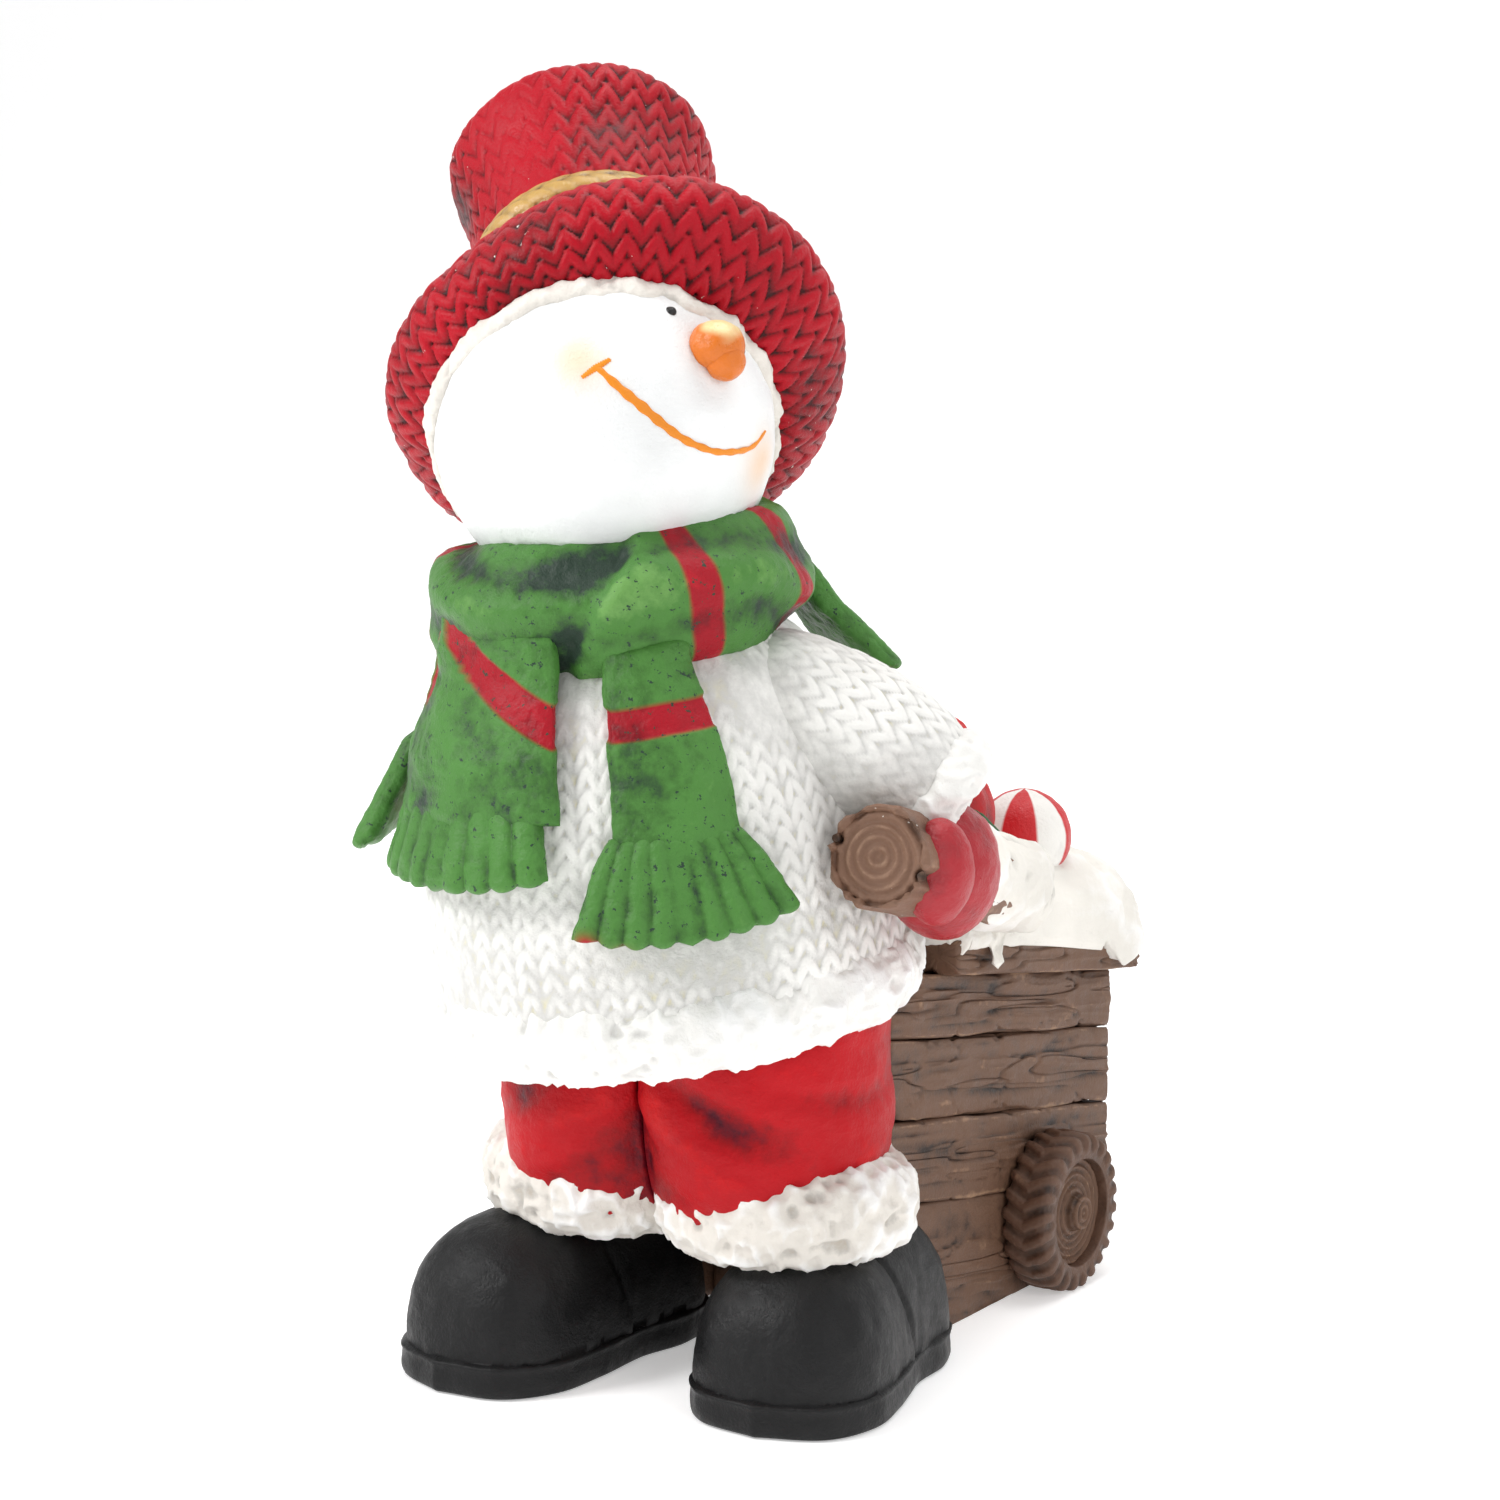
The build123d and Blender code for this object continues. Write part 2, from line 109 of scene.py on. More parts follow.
def cast(name, rings, height, material, nodes, relief, mark=None, hoop=False):
    """Closed skin from a grid of points pushed out by height, with its hollows and highs noted
    for the paint. A hoop's last row joins its first, and any other piece is capped at both ends."""
    surface = rings + outward(rings) * height[..., None]
    rows, columns = surface.shape[:2]
    points = surface.reshape(-1, 3)
    index = np.arange(rows * columns).reshape(rows, columns)
    following = np.roll(index, -1, axis=0) if hoop else index[1:]
    first = index if hoop else index[:-1]
    faces = np.stack([first, np.roll(first, -1, axis=1), np.roll(following, -1, axis=1), following],
                     axis=-1)
    faces = faces.reshape(-1, 4).tolist()
    shade = np.broadcast_to(np.clip(relief, 0, 1), (rows, columns)).reshape(-1)
    mark = np.broadcast_to(0.0 if mark is None else mark, (rows, columns)).reshape(-1)
    if not hoop:
        for end in (0, rows - 1):
            points = np.vstack([points, surface[end].mean(axis=0)])
            shade = np.append(shade, shade[index[end]].mean())
            mark = np.append(mark, mark[index[end]].mean())
            ring = index[end]
            hub = len(points) - 1
            faces += np.stack([ring, np.roll(ring, -1), np.full(columns, hub)], axis=1).tolist()
    mesh = bpy.data.meshes.new(name)
    mesh.from_pydata(((points + STAND) / 1000).tolist(), [], faces)
    for label, values in (("relief", shade), ("mark", mark)):
        mesh.attributes.new(label, "FLOAT", "POINT").data.foreach_set("value", values.astype(np.float32))
    mesh.polygons.foreach_set("use_smooth", np.ones(len(mesh.polygons), bool))
    mesh.materials.append(material)
    mesh.update()
    piece = bpy.data.objects.new(name, mesh)
    bpy.context.collection.objects.link(piece)
    turn_faces_out(mesh)
    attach(piece, "root")
    if nodes:
        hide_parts(*nodes)


def turn_faces_out(mesh):
    work = bmesh.new()
    work.from_mesh(mesh)
    bmesh.ops.recalc_face_normals(work, faces=work.faces)
    work.to_mesh(mesh)
    work.free()


def paint(name, hollow, main, raised, roughness=0.6, chips=0.0, second=None, dirt=0.35, shine=0.4,
          chip_colour=(0.78, 0.74, 0.68), chip_scale=210.0):
    """Hand paint on a rough casting: dark in the hollows, which is the paint's own darker tone there
    together with painted shade, a main coat, a lighter dry-brushed top, small chips, and a second set
    of three colours where the piece is marked for them."""
    material = bpy.data.materials.new(name)
    material.use_nodes = True
    nodes, links = material.node_tree.nodes, material.node_tree.links
    shader = nodes["Principled BSDF"]
    shader.inputs["Specular IOR Level"].default_value = shine

    def add(kind, **values):
        node = nodes.new(kind)
        for key, value in values.items():
            node.inputs[key.replace("_", " ")].default_value = value
        return node

    def blend(factor, one, other):
        mix = nodes.new("ShaderNodeMix")
        mix.data_type = "RGBA"
        for socket, value in ((mix.inputs[0], factor), (mix.inputs[6], one), (mix.inputs[7], other)):
            if hasattr(value, "links"):
                links.new(value, socket)
            else:
                socket.default_value = value if isinstance(value, float) else (*value, 1)
        return mix.outputs[2]

    def ramp(source, stops):
        node = nodes.new("ShaderNodeValToRGB")
        elements = node.color_ramp.elements
        for element, (place, colour) in zip(elements, (stops[0], stops[-1])):
            element.position = place
            element.color = (*colour, 1)
        for place, colour in stops[1:-1]:
            elements.new(place).color = (*colour, 1)
        links.new(source, node.inputs[0])
        return node.outputs[0]

    def plus(one, other, scale):
        node = nodes.new("ShaderNodeMath")
        node.operation = "MULTIPLY_ADD"
        links.new(other, node.inputs[0])
        node.inputs[1].default_value = scale
        links.new(one, node.inputs[2])
        return node.outputs[0]

    where = nodes.new("ShaderNodeTexCoord").outputs["Object"]
    relief = nodes.new("ShaderNodeAttribute")
    relief.attribute_name = "relief"
    brush = add("ShaderNodeTexNoise", Scale=140.0, Detail=6.0, Roughness=0.65)
    fine = add("ShaderNodeTexNoise", Scale=900.0, Detail=4.0, Roughness=0.6)
    broad = add("ShaderNodeTexNoise", Scale=28.0, Detail=3.0, Roughness=0.5)
    for noise in (brush, fine, broad):
        links.new(where, noise.inputs["Vector"])
    centred = nodes.new("ShaderNodeMath")
    centred.operation = "SUBTRACT"
    links.new(brush.outputs[0], centred.inputs[0])
    centred.inputs[1].default_value = 0.5
    # Low relief takes the dark stops: the paint's own darker tone in the hollows together with painted
    # shade.
    level = plus(relief.outputs["Fac"], centred.outputs[0], dirt * 2)

    def coat(colours):
        dark, mid, light = colours
        deep = tuple(channel * 0.72 for channel in mid)
        stops = [(0.08, dark), (0.32, deep), (0.50, mid), (0.74, mid), (1.0, light)]
        return ramp(level, stops)

    colour = coat((hollow, main, raised))
    if second:
        marked = nodes.new("ShaderNodeAttribute")
        marked.attribute_name = "mark"
        colour = blend(marked.outputs["Fac"], colour, coat(second))
    wash = ramp(broad.outputs[0], [(0.3, (0.82, 0.82, 0.82)), (0.7, (1.0, 1.0, 1.0))])
    tint = nodes.new("ShaderNodeMix")
    tint.data_type = "RGBA"
    tint.blend_type = "MULTIPLY"
    tint.inputs[0].default_value = 0.7
    links.new(colour, tint.inputs[6])
    links.new(wash, tint.inputs[7])
    colour = tint.outputs[2]
    if chips:
        spots = add("ShaderNodeTexNoise", Scale=chip_scale, Detail=3.0, Roughness=0.7)
        links.new(where, spots.inputs["Vector"])
        edge = ramp(spots.outputs[0], [(0.735 - chips, (0, 0, 0)), (0.75 - chips, (1, 1, 1))])
        colour = blend(edge, colour, chip_colour)
    links.new(colour, shader.inputs["Base Color"])
    gloss = ramp(brush.outputs[0], [(0.3, (roughness - 0.12,) * 3), (0.7, (roughness + 0.12,) * 3)])
    links.new(gloss, shader.inputs["Roughness"])
    bump = nodes.new("ShaderNodeBump")
    bump.inputs["Strength"].default_value = 0.55
    bump.inputs["Distance"].default_value = 0.0006
    links.new(plus(fine.outputs[0], brush.outputs[0], 1.5), bump.inputs["Height"])
    links.new(bump.outputs[0], shader.inputs["Normal"])
    return material


BOOT_PLACES = {"left": (48, 9, 8), "right": (-50, -10, -8)}
boot_black = paint("boot_black", (0.002, 0.002, 0.002), (0.005, 0.005, 0.0055), (0.018, 0.018, 0.019),
                   roughness=0.46, shine=0.28)


def foot_frame(points, side):
    x, y, turn = BOOT_PLACES[side]
    c, s = cos(radians(turn)), sin(radians(turn))
    return np.stack([x + points[..., 0] * c - points[..., 1] * s,
                     y + points[..., 0] * s + points[..., 1] * c, points[..., 2]], axis=-1)


def foot_plan(grow, columns):
    """Outline of the sole: wide round toe, slight waist and round heel."""
    plan = [(0, -59), (22, -52), (32, -34), (31, -12), (27, 12), (28, 34), (20, 53), (0, 59)]
    right = smooth_line(plan, columns // 2 + 1)
    whole = np.vstack([right[:-1], right[::-1][:-1] * (-1, 1)])
    size = np.linalg.norm(whole, axis=1, keepdims=True)
    return whole * (size + grow) / size


for side in ("left", "right"):
    profile = smooth_line([(-1.5, 0), (1.2, 1), (2, 4), (1.6, 9), (2.2, 11), (-1, 12.4)], 20)
    rings = np.stack([np.column_stack([foot_plan(grow, 240), np.full(240, z)]) for grow, z in profile])
    rings[..., 2] = np.maximum(rings[..., 2], 0)
    rings = foot_frame(rings, side)
    bumps = 0.35 * rough(rings, 6, 3) * (profile[:, 1] > 1)[:, None]
    cast(f"sole_of_{side}_boot", rings, bumps, boot_black, [f"sole_{side}"],
         relief=0.5 + 0.5 * bumps)

    spine = smooth_line([(-58, 2, 6), (-52, 25, 22), (-40, 38, 31), (-22, 43.5, 33), (-6, 42, 30.5),
                         (10, 44, 29), (26, 46, 28), (42, 40, 27), (53, 28, 20), (57.5, 3, 6)], 150)
    turn = np.linspace(0, 2 * pi, 160, endpoint=False)
    c, s = np.cos(turn), np.sin(turn)
    rings = np.stack([np.column_stack([w * np.sign(c) * np.abs(c) ** 0.85, np.full(160, y),
                                       11.5 + np.maximum(0, h * np.sign(s) * np.abs(s) ** 0.8)])
                      for y, h, w in spine])
    seam = -1.1 * np.exp(-((spine[:, 0, None] - 10 + 0.25 * rings[..., 2]) / 1.5) ** 2)
    wrinkles = 0.8 * lumps(rings, (26, 6, 12), 9) * np.exp(-((spine[:, 0, None] - 2) / 9) ** 2)
    height = seam + wrinkles + 0.35 * rough(rings, 5, 4)
    cast(f"boot_{side}_upper", foot_frame(rings, side), height, boot_black,
         [f"boot_{side}"], relief=0.5 + 0.35 * height)


# ---- Trousers with fleece cuffs
# Loose trousers modelled as two fat legs that meet at the seat, red, with painted shade in the
# folds and where the legs meet. The cuffs are fleece, picked up into rough white lumps and left
# beige in the hollows.

cloth_red = paint("cloth_red", (0.07, 0.001, 0.010), (0.46, 0.002, 0.007), (0.62, 0.008, 0.010),
                  roughness=0.5, dirt=0.32, shine=0.2)
fleece_white = paint("fleece_white", (0.40, 0.30, 0.19), (0.78, 0.74, 0.68), (0.92, 0.91, 0.89),
                     roughness=0.75, dirt=0.3, shine=0.2)


def hoop_rings(radius, height, tube, rows, columns, frame_of):
    """Grid round a ring of oval section."""
    turn = np.linspace(0, 2 * pi, rows, endpoint=False)[:, None]
    tilt = np.linspace(0, 2 * pi, columns, endpoint=False)[None]
    out = radius + tube[0] * np.cos(tilt)
    rings = np.stack([out * np.cos(turn), out * np.sin(turn),
                      np.broadcast_to(height + tube[1] * np.sin(tilt), (rows, columns))], axis=-1)
    return frame_of(rings)


def ring_normals(rings, frame_of, radius, height):
    """Normals of a hoop, away from the middle of its section."""
    turn = np.linspace(0, 2 * pi, rings.shape[0], endpoint=False)
    core = np.stack([radius * np.cos(turn), radius * np.sin(turn), np.full(len(turn), height)], axis=-1)
    away = rings - frame_of(core)[:, None]
    return away / np.linalg.norm(away, axis=-1, keepdims=True)


def hoop(name, radius, height, tube, frame_of, relief_of, material, slot, nodes, rows, columns,
         shade=None, mark=None):
    """Ring-shaped piece whose relief pushes out from the middle of its section."""
    rings = hoop_rings(radius, height, tube, rows, columns, frame_of)
    bumps = relief_of(rings)
    rings = rings + ring_normals(rings, frame_of, radius, height) * bumps[..., None]
    shade = 0.5 + 0.2 * bumps if shade is None else shade(bumps)
    cast(name, rings, np.zeros(bumps.shape), material, nodes, relief=shade, mark=mark, hoop=True)


def fleece(points, size, depth):
    """Picked-up tufts: pointed lumps with sharp valleys between them."""
    tufts = 1 - 2 * np.abs(lumps(points, size, 21))
    height = (0.55 * tufts + 0.5 * lumps(points, size * 1.7, 23)
              + 0.4 * (1 - 2 * np.abs(lumps(points, 4, 25))))
    return depth * np.maximum(height, 0.25 * height - 0.25)


LEG_SPACING, LEG_HALF_WIDTH, LEG_HALF_DEPTH, CUFF_SPACING, ANKLE_HEIGHT = 29, 39, 46, 36, 66
for side, sign in (("left", 1), ("right", -1)):
    levels = smooth_line([(58, 0.84), (66, 0.93), (80, 1.0), (98, 1.03), (118, 1.0), (140, 0.96),
                          (150, 0.9)], 150)
    turn = np.linspace(0, 2 * pi, 220, endpoint=False)
    rings = np.stack([np.column_stack([LEG_SPACING + LEG_HALF_WIDTH * grow * np.cos(turn),
                                       2 + LEG_HALF_DEPTH * grow * np.sin(turn), np.full(220, z)])
                      for z, grow in levels])
    rings[..., 0] = np.maximum(rings[..., 0], 0.4)
    rings[..., 0] *= sign
    slanted = rings + np.array([0, 0, 0.4]) * (rings[..., :1] * sign)
    height = (2.2 * lumps(slanted, (40, 40, 13), 31) + 1.0 * lumps(slanted, (22, 22, 7), 33)
              + 0.3 * rough(rings, 4, 35))
    height = np.where(rings[..., 0] * sign < 1.5, 0, height)
    # Painted shade: darker in the folds and towards the middle, where the two legs meet.
    shade_between_legs = np.clip(np.abs(rings[..., 0]) / 9, 0, 1)
    cast(f"trouser_{side}_leg", rings, height, cloth_red,
         [f"trouser_leg_{side}"] + (["trousers_seat"] if side == "left" else []),
         relief=(0.5 + 0.16 * height) * (0.35 + 0.65 * shade_between_legs))

    def at_ankle(points):
        return points + np.array([CUFF_SPACING * sign, 2, 0])

    hoop(f"fleece_cuff_{side}_leg", 31, ANKLE_HEIGHT, (12.0, 15.5), at_ankle,
         lambda at: fleece(at, 6.5, 2.6), fleece_white, "white_fleece",
         [f"trouser_cuff_{side}"], rows=380, columns=110)


# ---- Knitted pullover
# A fat pullover in plain knitting, pressed into the body in upright ribs of small Vs, with a
# fleece hem. White paint, with a thin yellow wash and painted shade in the hollows.

BODY_FOOT = np.array([-3.0, -3.0, 125.0])
BODY_AXIS = np.array([-0.0984, -0.0984, 0.990])
BODY_AXIS /= np.linalg.norm(BODY_AXIS)
BODY_X = np.array([1, 0, 0.0994])
BODY_X /= np.linalg.norm(BODY_X)
BODY_Y = np.cross(BODY_AXIS, BODY_X)
KNIT_TALL = 7.0
KNIT_COLUMNS = 54

knit_white = paint("knit_white", (0.70, 0.66, 0.46), (0.86, 0.85, 0.82), (0.93, 0.93, 0.92),
                   roughness=0.7, dirt=0.22, shine=0.2)


def on_body(points):
    return BODY_FOOT + points[..., :1] * BODY_X + points[..., 1:2] * BODY_Y + points[..., 2:] * BODY_AXIS


def stitches(across, along, wide, tall):
    """Height from 0 to 1 of plain knitting, two leaning loops to a stitch."""
    best = np.zeros(np.broadcast(across, along).shape)
    column = across / wide - np.floor(across / wide) - 0.5
    row = along / tall - np.floor(along / tall) - 0.5
    for hand in (-1, 1):
        lean = -hand * 0.42
        for step in (-1, 0, 1):
            dx = (column - hand * 0.25) * wide
            dy = (row - step) * tall
            over = dx * cos(lean) - dy * sin(lean)
            up = dx * sin(lean) + dy * cos(lean)
            loop = np.sqrt(np.clip(1 - (over / (0.235 * wide)) ** 2 - (up / (0.92 * tall)) ** 2, 0, 1))
            best = np.maximum(best, loop * (0.74 + 0.26 * np.clip(up / (0.9 * tall), -1, 1)))
    return best


def turned_rings(profile, count, columns):
    """Grid of a turned shape from its (radius, height) profile."""
    line = smooth_line(profile, count)
    turn = np.linspace(0, 2 * pi, columns, endpoint=False)
    rings = np.stack([np.column_stack([r * np.cos(turn), r * np.sin(turn), np.full(columns, h)])
                      for r, h in line])
    return rings, line, turn


rings, line, turn = turned_rings([(66, 2), (78, 6), (80, 30), (78, 62), (71, 92), (62, 115), (50, 130)],
                                 170, 560)
knit = stitches(turn[None] * 75, line[:, 1:], 2 * pi * 75 / KNIT_COLUMNS, KNIT_TALL)
placed = on_body(rings)
worn = np.clip(0.55 + 0.9 * lumps(placed, 34, 41), 0.1, 1)
height = 1.7 * knit * worn + 0.8 * rough(placed, 14, 43)
# Painted shade: the relief is low between the stitches, so the yellow hollow colour darkens them.
cast("knitted_pullover", placed, height, knit_white, ["pullover_body"],
     relief=0.12 + 0.68 * knit * worn
     + 0.2 * (1 - worn) + 0.1 * lumps(placed, 24, 45))
hoop("fleece_hem_of_pullover", 70, 12, (12.5, 14.5), on_body, lambda at: fleece(at, 8, 2.4), knit_white,
     "white_knit", ["pullover_hem"], rows=620, columns=120)

# ---- Sleeves and their fleece ends
# Each arm is a short fat sleeve run down from the shoulder to the log it holds, in the same
# knitting as the body, ending in a ring of fleece.

SHOULDERS = {"left": np.array([34.0, -6, 237]), "right": np.array([-60.0, 2, 237])}
WRISTS = {"left": np.array([86.0, 18, 204]), "right": np.array([-87.0, 36, 204])}


def frame_along(start, end):
    """Place points about a line: their third number runs along it."""
    axis = (end - start) / np.linalg.norm(end - start)
    one = np.cross(axis, [0, 0, 1.0])
    one /= np.linalg.norm(one)
    two = np.cross(axis, one)
    return lambda points: start + points[..., :1] * one + points[..., 1:2] * two + points[..., 2:] * axis


for side in ("left", "right"):
    shoulder, wrist = SHOULDERS[side], WRISTS[side]
    run = np.linalg.norm(wrist - shoulder)
    rings, line, turn = turned_rings([(4, -13), (17, -10), (25, 6), (26.5, run * 0.5), (23, run * 0.85),
                                      (17, run)],
                                     100, 260)
    knit = stitches(turn[None] * 24, line[:, 1:], 2 * pi * 24 / 20, KNIT_TALL)
    placed = frame_along(shoulder, wrist)(rings)
    worn = np.clip(0.6 + 0.8 * lumps(placed, 24, 51), 0.1, 1)
    cast(f"knitted_{side}_sleeve", placed, 1.6 * knit * worn + 1.0 * rough(placed, 16, 53), knit_white,
         [f"sleeve_{side}"], relief=0.15 + 0.7 * knit * worn + 0.2 * (1 - worn))
    hoop(f"fleece_end_of_{side}_sleeve", 14.5, 0, (8.5, 8.0), frame_along(wrist, 2 * wrist - shoulder),
         lambda at: fleece(at, 7, 1.8), knit_white, "white_knit", [f"sleeve_cuff_{side}"], rows=200,
         columns=70)

# ---- Head
# A round hollow snowball, smooth under broad brush strokes of white, with a soft orange blush
# on each cheek, grey-blue painted shade in streaks low down, a ragged white edge under the hat and a
# thin smile.

FACE = np.array([0.83, -0.14, 0.55])
FACE /= np.linalg.norm(FACE)
CROWN = np.array([-0.536, 0.642, 0.550])
CROWN /= np.linalg.norm(CROWN)
FACE_SIDE = np.cross(FACE, CROWN)
FACE_SIDE /= np.linalg.norm(FACE_SIDE)
FACE_UP = np.cross(FACE_SIDE, FACE)
HEAD_RADIUS = 56.0
head_white = paint("head_white", (0.60, 0.66, 0.70), (0.86, 0.87, 0.87), (0.92, 0.92, 0.91),
                   roughness=0.5, dirt=0.2,
                   second=((0.85, 0.42, 0.12), (0.9, 0.5, 0.2), (0.92, 0.6, 0.3)))


def toward(side_angle, up_angle):
    """Direction from the head's middle: degrees to the side and up from the middle of the face."""
    a, b = radians(side_angle), radians(up_angle)
    return (FACE * cos(a) + FACE_SIDE * sin(a)) * cos(b) + FACE_UP * sin(b)


rings, line, turn = turned_rings([(HEAD_RADIUS * sin(a), -HEAD_RADIUS * cos(a))
                                  for a in np.linspace(0.02, pi - 0.02, 15)], 240, 360)
away = rings / HEAD_RADIUS
blush = sum(np.exp(-(np.arccos(np.clip(away @ toward(side, -20), -1, 1)) / 0.17) ** 2)
            for side in (44, -44))
height = 0.5 * lumps(rings, (18, 18, 7), 61) + 0.12 * rough(rings, 4, 63)
# Painted shade: the lower part of the head darkens towards grey-blue in streaks.
low = np.clip((-away[..., 2] - 0.45) * 3, 0, 1)
cast("snowman_head", rings + HEAD_CENTRE, height, head_white, ["head"],
     relief=0.66 + 0.3 * height - 0.42 * low * (0.5 + 0.5 * lumps(rings, (20, 20, 5), 65)),
     mark=0.55 * blush)

hat_line = frame_along(HEAD_CENTRE + CROWN * 1.5, HEAD_CENTRE + CROWN * 2.5)
rings = hoop_rings(55.6, -1, (2.8, 4.8), 460, 30, hat_line)
ragged = 1.9 * rough(rings, 6, 67) - 0.2
cast("white_edge_under_hat", rings, ragged, fleece_white, [], relief=0.62 + 0.2 * ragged,
     hoop=True)

mouth_orange = paint("mouth_orange", (0.60, 0.16, 0.004), (0.80, 0.25, 0.006), (0.88, 0.36, 0.02),
                     roughness=0.4)


def stroke(name, angles, widths, material):
    """Thin painted stroke lying on the head through (side, up) angles."""
    route = smooth_line([toward(*pair) for pair in angles], 90)
    route /= np.linalg.norm(route, axis=1, keepdims=True)
    half = np.interp(np.linspace(0, 1, 90), np.linspace(0, 1, len(widths)), widths) / 2
    half = half * (1 + 0.15 * np.sin(np.arange(90) * 0.9))
    sideways = np.cross(route, np.gradient(route, axis=0))
    sideways /= np.linalg.norm(sideways, axis=1, keepdims=True)
    turn = np.linspace(0, 2 * pi, 12, endpoint=False)
    centre = HEAD_CENTRE + route * (HEAD_RADIUS + 0.15)
    across = sideways[:, None] * (half[:, None] * np.cos(turn))[..., None]
    proud = route[:, None] * (0.45 * np.sin(turn))[..., None]
    rings = centre[:, None] + across + proud
    flat = np.zeros(rings.shape[:2])
    cast(name, rings, flat, material, [], relief=flat + 0.6)


SMILE = [(38, -22), (28.5, -28.7), (20, -32.8), (10.6, -36.1), (0, -37.8), (-10, -36.9), (-20, -33.5),
         (-32.6, -22.9), (-37, -12)]
stroke("painted_smile", SMILE, (1.8, 2.8, 3.2, 2.8, 2.4, 2.2, 2.0, 1.6, 1.0), mouth_orange)
stroke("painted_smile_corner", [(42.5, -26), (38, -23), (33, -19.5)], (1.2, 2.4, 1.4), mouth_orange)

# ---- Eyes and nose
# Two small black dots of thick paint, and a stub of carrot in two soft lobes, orange with a pale
# yellow top that is worn paint together with a painted highlight, set on the middle of the face.

eye_black = paint("eye_black", (0.004, 0.004, 0.004), (0.01, 0.01, 0.01), (0.03, 0.03, 0.03),
                  roughness=0.35)
nose_orange = paint("nose_orange", (0.38, 0.07, 0.004), (0.72, 0.17, 0.006), (0.85, 0.32, 0.03),
                    roughness=0.35,
                    second=((0.85, 0.55, 0.15), (0.90, 0.72, 0.36), (0.92, 0.85, 0.62)), shine=0.5)


def ball(name, centre, size, material, nodes, relief_of, mark_of=None, rows=60, columns=90):
    """Round piece with its own relief. Size is its half width along each axis."""
    angle = np.linspace(0.04, pi - 0.04, rows)[:, None]
    turn = np.linspace(0, 2 * pi, columns, endpoint=False)[None]
    away = np.stack(np.broadcast_arrays(np.sin(angle) * np.cos(turn), np.sin(angle) * np.sin(turn),
                                        -np.cos(angle)), -1)
    rings = away * np.asarray(size, float) + centre
    height = relief_of(rings)
    cast(name, rings, height, material, nodes, relief=0.55 + 0.3 * height,
         mark=None if mark_of is None else mark_of(away))


for number, side_angle in enumerate((14.4, -14.4)):
    spot = HEAD_CENTRE + toward(side_angle, 4.8) * (HEAD_RADIUS - 0.4)
    ball(f"eye_dot_{number + 1}", spot, (2.0, 2.0, 1.8), eye_black,
         ["eyes"] if number == 0 else [], lambda at: 0.15 * lumps(at, 1.5, 71), rows=24, columns=32)
bridge = HEAD_CENTRE + toward(-0.5, -4.5) * (HEAD_RADIUS + 2.5) + np.array([0.8, 0.6, 0])
tip = bridge + np.array([0.8, 0, -6.8]) + FACE * 3.5


# Pale yellow on the upper side of the nose: worn paint together with a painted highlight.
def worn_and_highlit_top(away):
    return np.clip((away @ np.array([0.35, -0.2, 0.9]) - 0.55) * 3.5 + 0.5 * lumps(away, 0.4, 73), 0, 1)


ball("carrot_nose_bridge", bridge, (9.0, 9.0, 8.2), nose_orange, ["carrot_nose"],
     lambda at: 0.4 * rough(at, 4, 75), worn_and_highlit_top)
ball("carrot_nose_tip", tip, (6.4, 6.2, 6.4), nose_orange, [],
     lambda at: 0.4 * rough(at, 4, 77))

# ---- Hat
# A knitted hat in thick wool: a wide brim rolled back round the head, a tall crown that opens
# out to its flat top, and a gold plaited braid where the two meet. Crimson over dark maroon.

HAT_CENTRE = HEAD_CENTRE + np.array([4.0, 3, 4])
on_hat = frame_along(HAT_CENTRE, HAT_CENTRE + CROWN)
hat_red = paint("hat_red", (0.050, 0.005, 0.006), (0.42, 0.001, 0.011), (0.62, 0.004, 0.018),
                roughness=0.42, chips=0.015, chip_scale=300.0, dirt=0.3, shine=0.2)
braid_gold = paint("braid_gold", (0.12, 0.05, 0.015), (0.52, 0.31, 0.07), (0.82, 0.60, 0.22),
                   roughness=0.35, shine=0.7)

BRIM_COLUMNS, CROWN_COLUMNS, HAT_STITCH_TALL = 42, 28, 10.0
across_hat = np.array([CROWN[1], -CROWN[0], 0]) / np.hypot(CROWN[0], CROWN[1])
over_hat = np.cross(CROWN, across_hat)
PRESSED_TOWARD = np.array([-0.42, -0.36, 0.83])
pressed_angle = np.arctan2(PRESSED_TOWARD @ over_hat, PRESSED_TOWARD @ across_hat)
rings, line, turn = turned_rings([(48, 2), (57, 3), (66, 9), (74, 18), (77, 29), (70, 38.5), (55, 48),
                                  (42, 58), (38, 64), (30, 64)], 160, 580)
run = np.concatenate([[0], np.cumsum(np.linalg.norm(np.diff(line, axis=0), axis=1))])[:, None]
off_pressed = (turn - pressed_angle + pi) % (2 * pi) - pi
pressed = np.exp(-(off_pressed / 0.75) ** 2)[None] * np.clip((line[:, :1] - 55) / 22, 0, 1)
rings[..., :2] *= (1 - 0.13 * pressed)[..., None]
rings[..., 2] -= 9 * pressed
knit = stitches(turn[None] * 66, run, 2 * pi * 66 / BRIM_COLUMNS, HAT_STITCH_TALL)
worn = np.clip(0.85 + 0.5 * lumps(on_hat(rings), 26, 81), 0.2, 1)
height = 2.3 * knit * worn + 1.1 * rough(on_hat(rings), 20, 83)
cast("knitted_hat_brim", on_hat(rings), height, hat_red, ["hat_brim"],
     relief=0.05 + 0.72 * knit * worn)

